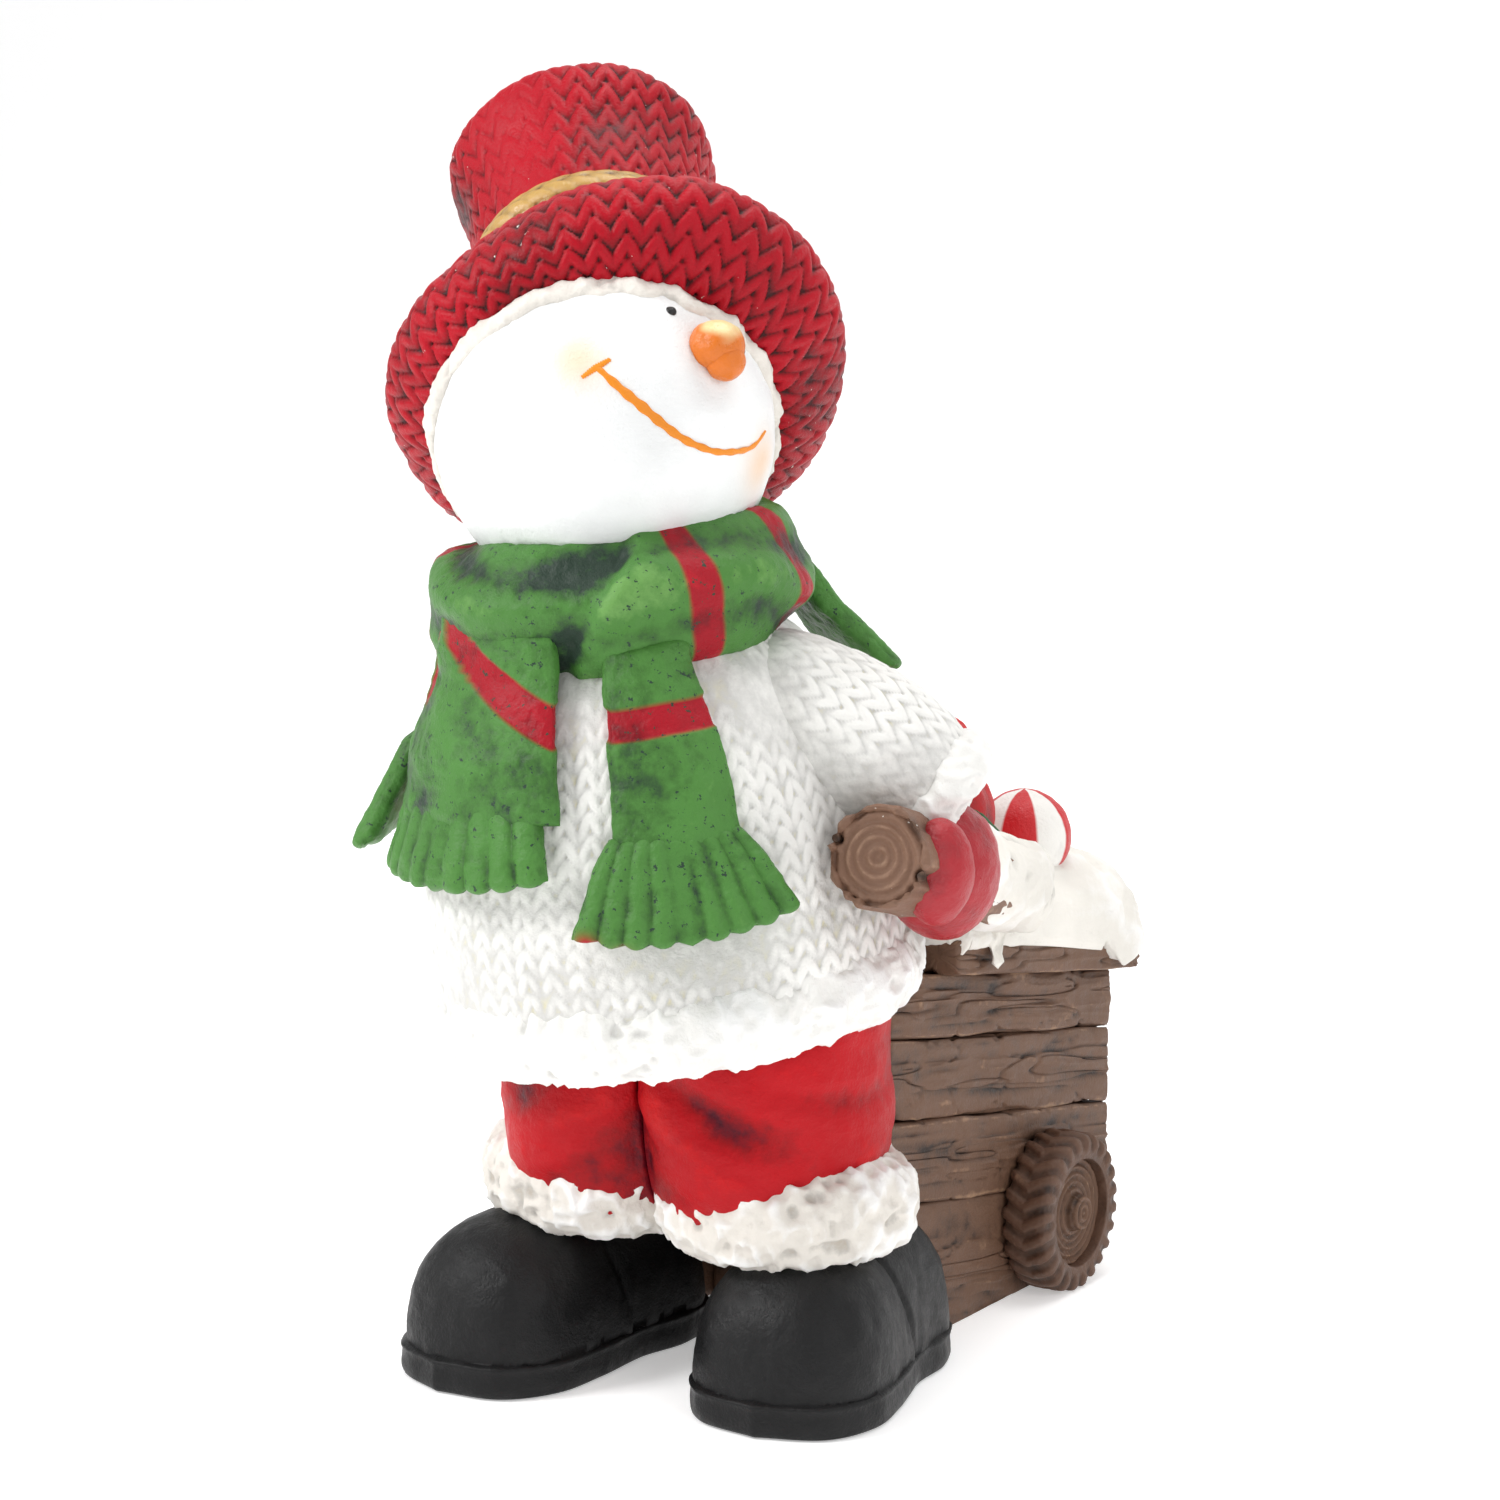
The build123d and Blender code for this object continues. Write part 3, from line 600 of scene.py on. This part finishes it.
on_crown = frame_along(HAT_CENTRE, HAT_CENTRE + CROWN + 0.05 * PRESSED_TOWARD)
rings, line, turn = turned_rings([(33, 58), (38, 62), (37.5, 78), (39, 94), (42.5, 116), (45.5, 132),
                                  (44.5, 139), (38, 142), (20, 141), (3, 140.5)], 190, 460)
run = np.concatenate([[0], np.cumsum(np.linalg.norm(np.diff(line, axis=0), axis=1))])[:, None]
knit = (stitches(turn[None] * 42, run, 2 * pi * 42 / CROWN_COLUMNS, HAT_STITCH_TALL)
        * np.clip((line[:, :1] - 2) / 30, 0, 1))
placed = on_crown(rings)
worn = np.clip(0.8 + 0.7 * lumps(placed, 28, 85), 0.15, 1)
side_patch = np.exp(-((turn[None] - 4.0) / 0.45) ** 2)
worn = worn * (1 - 0.75 * side_patch)
height = 2.0 * knit * worn + 1.2 * rough(placed, 24, 87)
cast("knitted_hat_crown", placed, height, hat_red, ["hat_crown"],
     relief=0.06 + 0.7 * knit * worn
     + 0.4 * side_patch)

braid_turn = np.linspace(0, 2 * pi, 520, endpoint=False)[:, None]
braid_tilt = np.linspace(-pi, pi, 90, endpoint=False)[None]
strands = stitches(braid_tilt * 5.5 + 50, braid_turn * 40, 2 * pi * 5.5 / 3, 2 * pi * 40 / 34)
hoop("gold_braid_on_hat", 40.0, 72, (4.8, 7.0), on_crown, lambda at: 1.5 * strands - 0.5, braid_gold,
     "gold_braid", ["hat_braid"], rows=520, columns=90, shade=lambda bumps: 0.1 + 0.4 * (bumps + 0.5))

# ---- Scarf
# A thick scarf wound once round the neck, with fringed ends hanging on the front, shoulder, side
# and back. Leaf green dry-brushed over dark grey-green, with red stripes across it.

scarf_paint = paint("scarf_green_paint", (0.022, 0.042, 0.028), (0.072, 0.215, 0.042),
                    (0.140, 0.320, 0.080), roughness=0.45,
                    chips=0.10, chip_colour=(0.022, 0.045, 0.030), chip_scale=380.0, dirt=0.5, shine=0.22,
                    second=((0.08, 0.004, 0.008), (0.36, 0.004, 0.014), (0.52, 0.012, 0.024)))
BODY_SHAPE = [(6, 78), (40, 79), (75, 76), (105, 67), (128, 55)]
STRIPE_ANGLES = (-30, 13, 60, 110, 160, 210)
COLLAR_RADIUS, COLLAR_HEIGHT = 43, 146


def soft_band(values, middle, width):
    """1 inside a band of the given width and 0 outside, with a soft edge."""
    return np.clip((width / 2 - np.abs(values - middle)) / 1.2 + 0.5, 0, 1)


def scarf_folds(points):
    turn = np.linspace(0, 2 * pi, points.shape[0], endpoint=False)[:, None]
    tilt = np.linspace(0, 2 * pi, points.shape[1], endpoint=False)[None]
    folds = np.cos(tilt * 5 + 1.2 * np.sin(turn * 3) + turn)
    lap = (turn + radians(62) - 0.25 * np.sin(tilt) + pi) % (2 * pi) - pi
    overlap = 2.2 * np.tanh(lap / 0.05) * np.exp(-np.abs(lap) / 0.35)
    return overlap + 1.5 * folds + 1.5 * lumps(points, (26, 26, 9), 91) + 0.5 * rough(points, 4, 93)


collar_turn = np.degrees(np.linspace(0, 2 * pi, 560, endpoint=False))[:, None] + np.zeros((1, 130))
collar_tilt = np.linspace(0, 2 * pi, 130, endpoint=False)[None]
collar_mark = sum(soft_band((collar_turn - angle + 1.5 * np.sin(collar_tilt) + 180) % 360 - 180, 0, 10.5)
                  for angle in STRIPE_ANGLES)
hoop("scarf_round_neck", COLLAR_RADIUS, COLLAR_HEIGHT, (21, 22), on_body, scarf_folds, scarf_paint,
     "green_scarf", ["scarf_collar"], rows=560, columns=130, shade=lambda bumps: 0.42 + 0.17 * bumps,
     mark=np.clip(collar_mark, 0, 1))


def hanging(name, nodes, start, arc, low, high, flare=0.0, lift=0.0, pleats=0, stripes=None, fan=0.06,
            sag=0.0):
    """Flat length of scarf lying on the pullover, its lower end flared and fanned out."""
    heights = np.linspace(low - 0.5, high + 0.5, 130)[:, None]
    loop = np.linspace(0, 2 * pi, 300, endpoint=False)[None]
    c, s = np.cos(loop), np.sin(loop)
    across = np.sign(c) * np.abs(c) ** 0.55
    down = np.clip((high - heights) / (high - low), 0, 1)
    ends = np.sqrt(np.clip(1 - ((heights - (low + high) / 2) / ((high - low) / 2 + 0.6)) ** 16, 0.04, 1))
    thickness = 5.2 * ends
    shape = np.interp(heights, *np.array(BODY_SHAPE + [(150, 50)]).T)
    radial = shape + 4.2 + lift + flare * down + thickness * np.sign(s) * np.abs(s) ** 0.6
    angle = np.radians(start + arc / 2 + across * arc / 2 * (1 - fan + fan * down ** 0.7))
    rings = on_body(np.stack([radial * np.cos(angle), radial * np.sin(angle),
                              heights - sag * down * (1 - across ** 2)], axis=-1))
    outer = np.clip(s * 3, 0, 1)
    if pleats:
        phase = across * pi * pleats + 0.5 * lumps(rings, 20, 101)
        height = (2.2 * np.abs(np.cos(phase / 2)) ** 0.7 - 1.2) * (0.35 + 0.65 * down) * outer
    else:
        height = 1.5 * lumps(rings, (16, 16, 34), 103) * outer
    height = height + 0.7 * lumps(rings, (14, 14, 9), 105) + 0.4 * rough(rings, 3.5, 107)
    mark = (np.zeros(height.shape) if stripes is None
            else stripes(across + 0 * heights, heights + 0 * across))
    height = height - 0.9 * mark
    cast(name, rings, height, scarf_paint, nodes, relief=0.46 + 0.2 * height + 0.2 * mark,
         mark=mark)


def tail_stripe(across, heights):
    return soft_band(heights, 112, 9.5)


def drape_stripes(across, heights):
    falling = soft_band(heights + 24 * across, 137, 13)
    far = (soft_band((across + 0.74 - 0.008 * (heights - 130)) * 33, 0, 8)
           * np.clip((heights - 118) / 2, 0, 1))
    return np.clip(falling * np.clip((across + 0.42) * 8, 0, 1) + far, 0, 1)


def fringe_dots(across, heights):
    spots = [(-0.86, 50), (-0.55, 47)]
    return sum(np.exp(-((across - a) / 0.09) ** 2 - ((heights - h) / 2.4) ** 2) for a, h in spots)


hanging("scarf_tail_on_front", ["scarf_front_tail"], -64, 29, 71, 134, stripes=tail_stripe)
hanging("scarf_fringe_on_front", ["scarf_front_fringe"], -74, 47, 50, 77, flare=9, pleats=9,
        stripes=fringe_dots, fan=0.38, sag=5)
hanging("scarf_drape_on_shoulder", ["scarf_shoulder_drape"], -142, 66, 84, 156, lift=2,
        stripes=drape_stripes)
hanging("scarf_fringe_on_shoulder", ["scarf_shoulder_fringe"], -139, 60, 68, 92, flare=5, pleats=9,
        fan=0.1, sag=3)
hanging("scarf_end_at_side", ["scarf_side_end"], -171, 30, 74, 106, flare=13, lift=3, pleats=5, fan=0.4,
        sag=3)
hanging("scarf_end_at_back", ["scarf_back_end"], 42, 30, 106, 146, flare=11, lift=6, pleats=5, fan=0.3,
        sag=3)

# ---- Mittens
# Plain red mittens closed round the ends of the logs, each a round hand with a lump of fingers
# and a short thumb, glossy where the paint is thick.

HANDS = {"left": np.array([89.0, 12, 181]), "right": np.array([-94.0, 37, 179])}
mitten_red = paint("mitten_red", (0.09, 0.002, 0.004), (0.38, 0.003, 0.012), (0.58, 0.010, 0.020),
                   roughness=0.38, dirt=0.2, shine=0.5)


def hand_folds(at):
    return 0.9 * lumps(at, 13, 111) + 0.3 * rough(at, 3.5, 113)


for side, sign in (("left", -1), ("right", 1)):
    ball(f"mitten_{side}_hand", HANDS[side], (18.6, 20.6, 23), mitten_red,
         [f"mitten_{side}"], hand_folds, rows=120, columns=160)
    knuckles = HANDS[side] + np.array([10.0 * -sign, -19, 3])
    ball(f"mitten_{side}_fingers", knuckles, (10.5, 12.5, 17.5), mitten_red, [], hand_folds,
         rows=80, columns=100)
    ball(f"mitten_{side}_thumb", HANDS[side] + np.array([7.0 * sign, -14, 13]), (8.4, 8.8, 10),
         mitten_red, [], hand_folds, rows=60, columns=80)

# ---- Log handles
# Two rough logs that reach from the mittens back to the cart, cast solid, with a scored grain,
# ringed ends and bare white casting where the edges have rubbed.

log_brown = paint("log_brown", (0.040, 0.020, 0.011), (0.200, 0.105, 0.065), (0.400, 0.250, 0.165),
                  roughness=0.6, chips=0.02, dirt=0.4)
LOGS = {"left": ([89.0, -28, 191], [67.0, 92, 160]), "right": ([-97.0, 8, 187], [-69.0, 96, 158])}
for side, (front, back) in LOGS.items():
    front, back = np.array(front), np.array(back)
    run = np.linalg.norm(back - front)
    rings, line, turn = turned_rings([(0.4, 0.6), (6, 0.2), (12, 0.4), (15, 1.6), (16, 4.5),
                                      (15.2, run * 0.5),
                                      (13.6, run - 4), (12.6, run - 1), (6, run), (0.4, run)], 230, 180)
    on_log = frame_along(front, back)(rings)
    grained = np.stack(np.broadcast_arrays(np.cos(turn)[None] * 14, np.sin(turn)[None] * 14,
                                           line[:, 1:] * 0.12), axis=-1)
    flat_end = np.clip((14.5 - line[:, :1]) / 2, 0, 1) * np.clip(1 - (line[:, 1:] - 3) / 2, 0, 1)
    bark = 1.4 * (1 - 2 * np.abs(lumps(grained, 4.5, 121))) + 0.8 * lumps(grained, 2.2, 123)
    growth = 0.6 * np.cos(line[:, :1] * 1.9 + 1.5 * lumps(on_log, 9, 125))
    height = bark * (1 - flat_end) + growth * flat_end
    cast(f"log_handle_{side}", on_log, height, log_brown, [f"cart_handle_{side}"],
         relief=0.42 + 0.2 * height + 0.25 * flat_end)

# ---- Cart
# An open cart of four boards to a side, a thick rim on three sides and a floor inside, tipped up
# towards the figure. Reddish brown in the grain and tan where the brush caught the high points.

CART_BACK, BOARD_FRONT, CART_WALL, HALF_WIDTH, BOARD = 209.0, 46, 82.0, 50.0, 8.0
BOARD_GAP, RIM_MIDDLE, RIM_WIDE, RIM_TALL = 1.2, 115.8, 16, 12.5
TILT = np.tan(radians(9))
JOINTS = [-25, 27.0, 57.0, 86.0, 109.0]
board_brown = paint("board_brown", (0.024, 0.012, 0.007), (0.150, 0.078, 0.046), (0.360, 0.215, 0.130),
                    roughness=0.6, dirt=0.5)


def plank(name, start, end, wide, tall, nodes, seed, material=board_brown):
    """Sawn board from start to end, the middles of its ends, with rounded edges and open grain."""
    start, end = np.array(start, float), np.array(end, float)
    length = np.linalg.norm(end - start)
    axis = (end - start) / length
    side = np.cross([0, 0, 1.0], axis)
    side /= np.linalg.norm(side)
    up = np.array([0, 0, 1.0])
    rows = int(min(260, max(90, length * 1.5)))
    along = np.concatenate([[0, 0.25, 0.8], np.linspace(1.6, length - 1.6, rows),
                            [length - 0.8, length - 0.25, length]])
    shrink = np.concatenate([[1.3, 0.75, 0.25], np.zeros(rows), [0.25, 0.75, 1.3]])
    loop = np.linspace(0, 2 * pi, 150, endpoint=False)
    c, s = np.cos(loop), np.sin(loop)
    reach = np.maximum(np.abs(c) / (wide / 2), np.abs(s) / (tall / 2))
    square = np.stack([c / reach, s / reach], axis=1)
    corner = (np.abs(c / reach) / (wide / 2)) ** 14 * (np.abs(s / reach) / (tall / 2)) ** 14
    square = square * (1 - 0.10 * corner[:, None] * min(1.0, 20 / max(wide, tall)))
    rings = []
    for run, less in zip(along, shrink):
        section = square - np.sign(square) * np.minimum(less, np.abs(square))
        rings.append(start + axis * run + side * section[:, :1] + up * section[:, 1:])
    rings = np.array(rings)
    spot = np.stack(np.broadcast_arrays(along[:, None] * 0.10, square[None, :, 0], square[None, :, 1]),
                    axis=-1)
    grain = 1 - 2 * np.abs(lumps(spot, 3.6, seed)) + 0.5 * lumps(spot, 1.9, seed + 1)
    knots = lumps(rings, 17, seed + 2)
    cracks = np.exp(-(lumps(spot, 5.5, seed + 4) / 0.06) ** 2)
    cracks = cracks + np.exp(-(lumps(spot, 3.1, seed + 5) / 0.05) ** 2)
    height = 0.75 * grain + 0.4 * knots - 0.9 * cracks
    away = rings - (start + (along[:, None] * axis))[:, None]
    away /= np.linalg.norm(away, axis=-1, keepdims=True)
    rings = rings + away * height[..., None]
    rings[..., 2] = np.maximum(rings[..., 2], 0.0)
    cast(name, rings, np.zeros(height.shape), material, nodes,
         relief=0.48 + 0.26 * height + 0.3 * corner[None])


def rise(y, at_back):
    """Height of a line of the cart at y, from its height at the back."""
    return at_back + (CART_BACK - y) * TILT


for number, (low, high) in enumerate(zip(JOINTS, JOINTS[1:])):
    tall = high - low - BOARD_GAP
    for side, sign in (("left", 1), ("right", -1)):
        x = sign * (HALF_WIDTH - BOARD / 2)
        front = CART_WALL - BOARD if number == 3 and side == "right" else BOARD_FRONT
        ends = [[x, y, rise(y, (low + high) / 2)] for y in (front, CART_BACK)]
        nodes = [f"cart_boards_{side}"] if number == 0 else []
        plank(f"cart_{side}_board_{number + 1}", ends[0], ends[1], BOARD, tall, nodes,
              131 + 7 * number + sign)
    for place, y in (("front", CART_WALL - BOARD / 2), ("back", CART_BACK - BOARD / 2)):
        ends = [[x, y, rise(y, (low + high) / 2)] for x in (BOARD - HALF_WIDTH, HALF_WIDTH - BOARD)]
        nodes = [f"cart_boards_{place}"] if number == 0 else []
        plank(f"cart_{place}_board_{number + 1}", ends[0], ends[1], BOARD, tall, nodes,
              171 + 7 * number + int(y) % 5)
plank("cart_floor_board", [0, CART_WALL, 4.2], [0, CART_BACK - BOARD, 4.2], 83, 7.6, ["cart_floor"], 201)
for side, sign in (("left", 1), ("right", -1)):
    ends = [[sign * HALF_WIDTH, y, rise(y, RIM_MIDDLE)] for y in (CART_WALL - 4, CART_BACK + 8)]
    nodes = ["cart_rim"] if side == "left" else []
    plank(f"cart_{side}_rim", ends[0], ends[1], RIM_WIDE, RIM_TALL, nodes, 211 + sign)
ends = [[x, CART_BACK, RIM_MIDDLE] for x in (-42.5, 42.5)]
plank("cart_back_rim", ends[0], ends[1], RIM_WIDE, RIM_TALL, [], 215)

# ---- Wheels
# Two fat wheels against the cart, a tyre notched all round its tread, and in it a disc
# that is scored in rings and has a raised hub. Painted like the boards.

tyre_brown = paint("tyre_brown", (0.020, 0.010, 0.006), (0.120, 0.060, 0.036), (0.330, 0.190, 0.115),
                   roughness=0.55, dirt=0.4)
WHEEL_PLACE, WHEEL_RADIUS = 153.0, 29.0
for side, sign in (("left", 1), ("right", -1)):
    hub = np.array([sign * HALF_WIDTH, WHEEL_PLACE, WHEEL_RADIUS])
    on_axle = frame_along(hub, hub + np.array([sign * 1.0, 0, 0]))
    profile = [(20, 0.6), (26.5, 0.6), (28.6, 3), (28.8, 9.5), (28.6, 16), (26.5, 18.4), (21, 18.6),
               (19.8, 17.4)]
    rings, line, turn = turned_rings(profile + [(19.8, 9), (19.8, 1.6)], 150, 420)
    lug = np.cos(turn[None] * 24 + np.abs(line[:, 1:] - 9.5) * 0.42)
    shoulder = np.clip((line[:, :1] - 22) / 3, 0, 1)
    height = 0.7 * np.tanh(2.0 * lug) * shoulder + 0.3 * rough(rings, 4, 221)
    cast(f"tyre_of_{side}_wheel", on_axle(rings), height, tyre_brown, [f"tyre_{side}"],
         relief=0.45 + 0.3 * height)
    rings, line, turn = turned_rings([(0.5, 0.5), (10, 0.5), (19.9, 1), (20, 13), (19, 14.4), (14, 14.2),
                                      (8, 14.6), (7, 17.6), (5.5, 19), (0.5, 19.2)], 150, 240)
    scored = 0.55 * np.cos(line[:, :1] * 2.3) * (line[:, 1:] > 12)
    wood = 0.6 * (1 - 2 * np.abs(lumps(rings, (1.8, 30, 30), 223)))
    height = scored + wood * 0.5
    cast(f"wheel_disc_of_{side}_wheel", on_axle(rings), height, board_brown,
         [f"wheel_disc_{side}"], relief=0.45 + 0.35 * height)

# ---- Snow load
# Deep snow heaped over the whole cart, sagging over the rim in soft drips and lying on the backs
# of the logs, white on the mounds and left beige in the hollows.

snow_white = paint("snow_white", (0.48, 0.38, 0.26), (0.82, 0.79, 0.73), (0.93, 0.92, 0.90),
                   roughness=0.7, dirt=0.25, shine=0.25)
RIM_TOP = 122
centre_y = (CART_WALL + CART_BACK + 6) / 2
loop = np.linspace(0, 2 * pi, 420, endpoint=False)
c, s = np.cos(loop), np.sin(loop)
outline = np.stack([np.sign(c) * np.abs(c) ** 0.2 * 61, np.sign(s) * np.abs(s) ** 0.2 * 71.5], axis=1)
rings = []
for t in np.linspace(0, 1, 190):
    if t < 0.16:
        spread, lift = 0.55 + 0.45 * (t / 0.16), -1.5
    elif t < 0.36:
        spread, lift = 1.0 + 0.02 * sin(pi * (t - 0.16) / 0.2), -1.5 + 11.4 * (t - 0.16) / 0.2
    else:
        u = (t - 0.36) / 0.64
        spread, lift = cos(u * pi / 2) ** 0.7 * 0.997 + 0.003, 9.9 + 29 * sin(u * pi / 2) ** 1.25
    plan = outline * spread
    y = centre_y + plan[:, 1]
    drips = 0.0
    if 0.12 < t < 0.36:
        hang = np.clip(1.6 * lumps(np.column_stack([plan / spread, 0 * y]), 12, 231) + 0.5, 0.1, 1)
        drips = -16 * hang * sin(pi * (t - 0.12) / 0.24) ** 0.8 * (spread > 0.9)
    rings.append(np.column_stack([plan[:, 0], y, rise(y, RIM_TOP) + lift + drips]))
rings = np.array(rings)
height = (2.2 * lumps(rings, 17, 233) + 1.3 * (1 - 2 * np.abs(lumps(rings, 8, 235)))
          + 0.5 * rough(rings, 4, 237))
cast("snow_heap_on_cart", rings, height, snow_white, ["snow_load"], relief=0.62 + 0.14 * height)

for side, (front, back) in LOGS.items():
    front, back = np.array(front), np.array(back)
    start = front + (back - front) * 0.45 + np.array([0, 0, 3.5])
    end = back + (back - front) * 0.08 + np.array([0, 0, 1.0])
    reach = np.linalg.norm(end - start)
    rings, line, turn = turned_rings([(1, -4), (11, -2), (15.5, 4), (16.5, reach * 0.5), (17, reach),
                                      (12, reach + 8), (1, reach + 10)], 110, 150)
    drift = frame_along(start, end)(rings)
    height = (1.9 * lumps(drift, 13, 261) + 1.0 * (1 - 2 * np.abs(lumps(drift, 7, 263)))
              + 0.4 * rough(drift, 4, 265))
    cast(f"snow_on_{side}_log", drift, height, snow_white, [], relief=0.6 + 0.15 * height)

# ---- Ball, strap and sack on the snow
# A ball striped in red and white, a green strap end and a red sack tied with fleece, all pressed
# into the snow.

ball_paint = paint("ball_stripes", (0.45, 0.38, 0.30), (0.84, 0.82, 0.78), (0.93, 0.92, 0.90),
                   roughness=0.45, dirt=0.2,
                   second=((0.12, 0.004, 0.006), (0.55, 0.010, 0.015), (0.68, 0.04, 0.03)))
sack_red = paint("sack_red", (0.09, 0.003, 0.006), (0.48, 0.006, 0.010), (0.63, 0.02, 0.02),
                 roughness=0.5, dirt=0.25)


def ball_stripes(away):
    angle = np.arctan2(away[..., 1], away[..., 0])
    return np.clip(np.sin(angle * 4) * 6 + 0.5, 0, 1)


ball("striped_toy_ball", np.array([37.0, 163, 165]), (17.5, 17.5, 17.5), ball_paint,
     ["striped_ball"], lambda at: 0.3 * rough(at, 5, 241), ball_stripes, rows=130, columns=200)
SACK = np.array([25.0, 118, 177])
SACK_TOP = SACK + np.array([2.0, 0, 27])
SACK_NECK = SACK + np.array([2.0, 0, 18.5])


def sack_folds(at):
    turn = np.arctan2(at[..., 1] - SACK[1], at[..., 0] - SACK[0])
    high = np.clip((at[..., 2] - SACK[2]) / 20, 0, 1)
    return 1.3 * high * np.cos(turn * 9) + 1.1 * lumps(at, 12, 243) + 0.3 * rough(at, 4, 245)


ball("sack_full_part", SACK, (22, 20, 22), sack_red, ["red_sack"], sack_folds, rows=120,
     columns=180)
ball("sack_gathered_top", SACK_TOP, (12, 10, 9), sack_red, [], sack_folds, rows=80,
     columns=120)


def at_tie(points):
    return points + SACK_NECK


hoop("fleece_tie_of_sack", 11, 0, (3.6, 3.2), at_tie, lambda at: fleece(at, 4.5, 1.1), fleece_white,
     "white_fleece", ["sack_tie"], rows=240, columns=50)
strap_paint = paint("strap_green", (0.015, 0.04, 0.025), (0.035, 0.12, 0.04), (0.09, 0.24, 0.09),
                    roughness=0.45, dirt=0.35)
plank("green_strap_end", [45, 111, 179], [56, 127, 160], 11, 8, ["green_strap"], 251,
      material=strap_paint)

# ---- Floor, light and camera
# A pale floor under soft studio light from both sides, looked at from a little above and from the
# figure's own left.


def pale_floor():
    """Sheet that curves up behind, in metres."""
    count = 61
    side = np.linspace(-9, 9, count)
    points = [(x, y, 0.6 * max(0.0, y - 1.5) ** 2) for y in side for x in side]
    index = np.arange(count * count).reshape(count, count)
    faces = np.stack([index[:-1, :-1], index[:-1, 1:], index[1:, 1:], index[1:, :-1]], axis=-1)
    faces = faces.reshape(-1, 4).tolist()
    mesh = bpy.data.meshes.new("studio_floor")
    mesh.from_pydata(points, [], faces)
    mesh.polygons.foreach_set("use_smooth", np.ones(len(mesh.polygons), bool))
    floor = bpy.data.objects.new("studio_floor", mesh)
    bpy.context.collection.objects.link(floor)
    material = bpy.data.materials.new("floor_paper")
    material.use_nodes = True
    shader = material.node_tree.nodes["Principled BSDF"]
    shader.inputs["Base Color"].default_value = (0.95, 0.95, 0.95, 1)
    shader.inputs["Roughness"].default_value = 0.9
    shader.inputs["Emission Color"].default_value = (1, 1, 1, 1)
    shader.inputs["Emission Strength"].default_value = 0.36
    mesh.materials.append(material)
    return floor


pale_floor()
world = bpy.data.worlds.new("studio")
world.use_nodes = True
world.node_tree.nodes["Background"].inputs["Color"].default_value = (1, 1, 1, 1)
world.node_tree.nodes["Background"].inputs["Strength"].default_value = 0.52
bpy.context.scene.world = world


def look(piece, place, target):
    piece.location = place
    piece.rotation_euler = (Vector(target) - Vector(place)).to_track_quat("-Z", "Y").to_euler()
    bpy.context.collection.objects.link(piece)


AIM = (np.array([18.0, 7.0, 215.0]) + STAND) / 1000
LIGHTS = (("light_left", (-0.9, -1.1, 1.2), 0.55, 19), ("light_right", (1.3, -0.5, 0.9), 0.7, 5),
          ("light_over", (0.1, 0.2, 1.7), 0.8, 12))
for label, place, width, power in LIGHTS:
    lamp = bpy.data.lights.new(label, "AREA")
    lamp.size = width
    lamp.energy = power
    look(bpy.data.objects.new(label, lamp), place, AIM)

lens = bpy.data.cameras.new("camera")
lens.lens = 86.4
lens.sensor_width = 36
bpy.context.scene.view_settings.view_transform = "Standard"
camera = bpy.data.objects.new("camera", lens)
look(camera, (np.array([664.4, -988.4, 392.4]) + STAND) / 1000, AIM)
bpy.context.scene.camera = camera
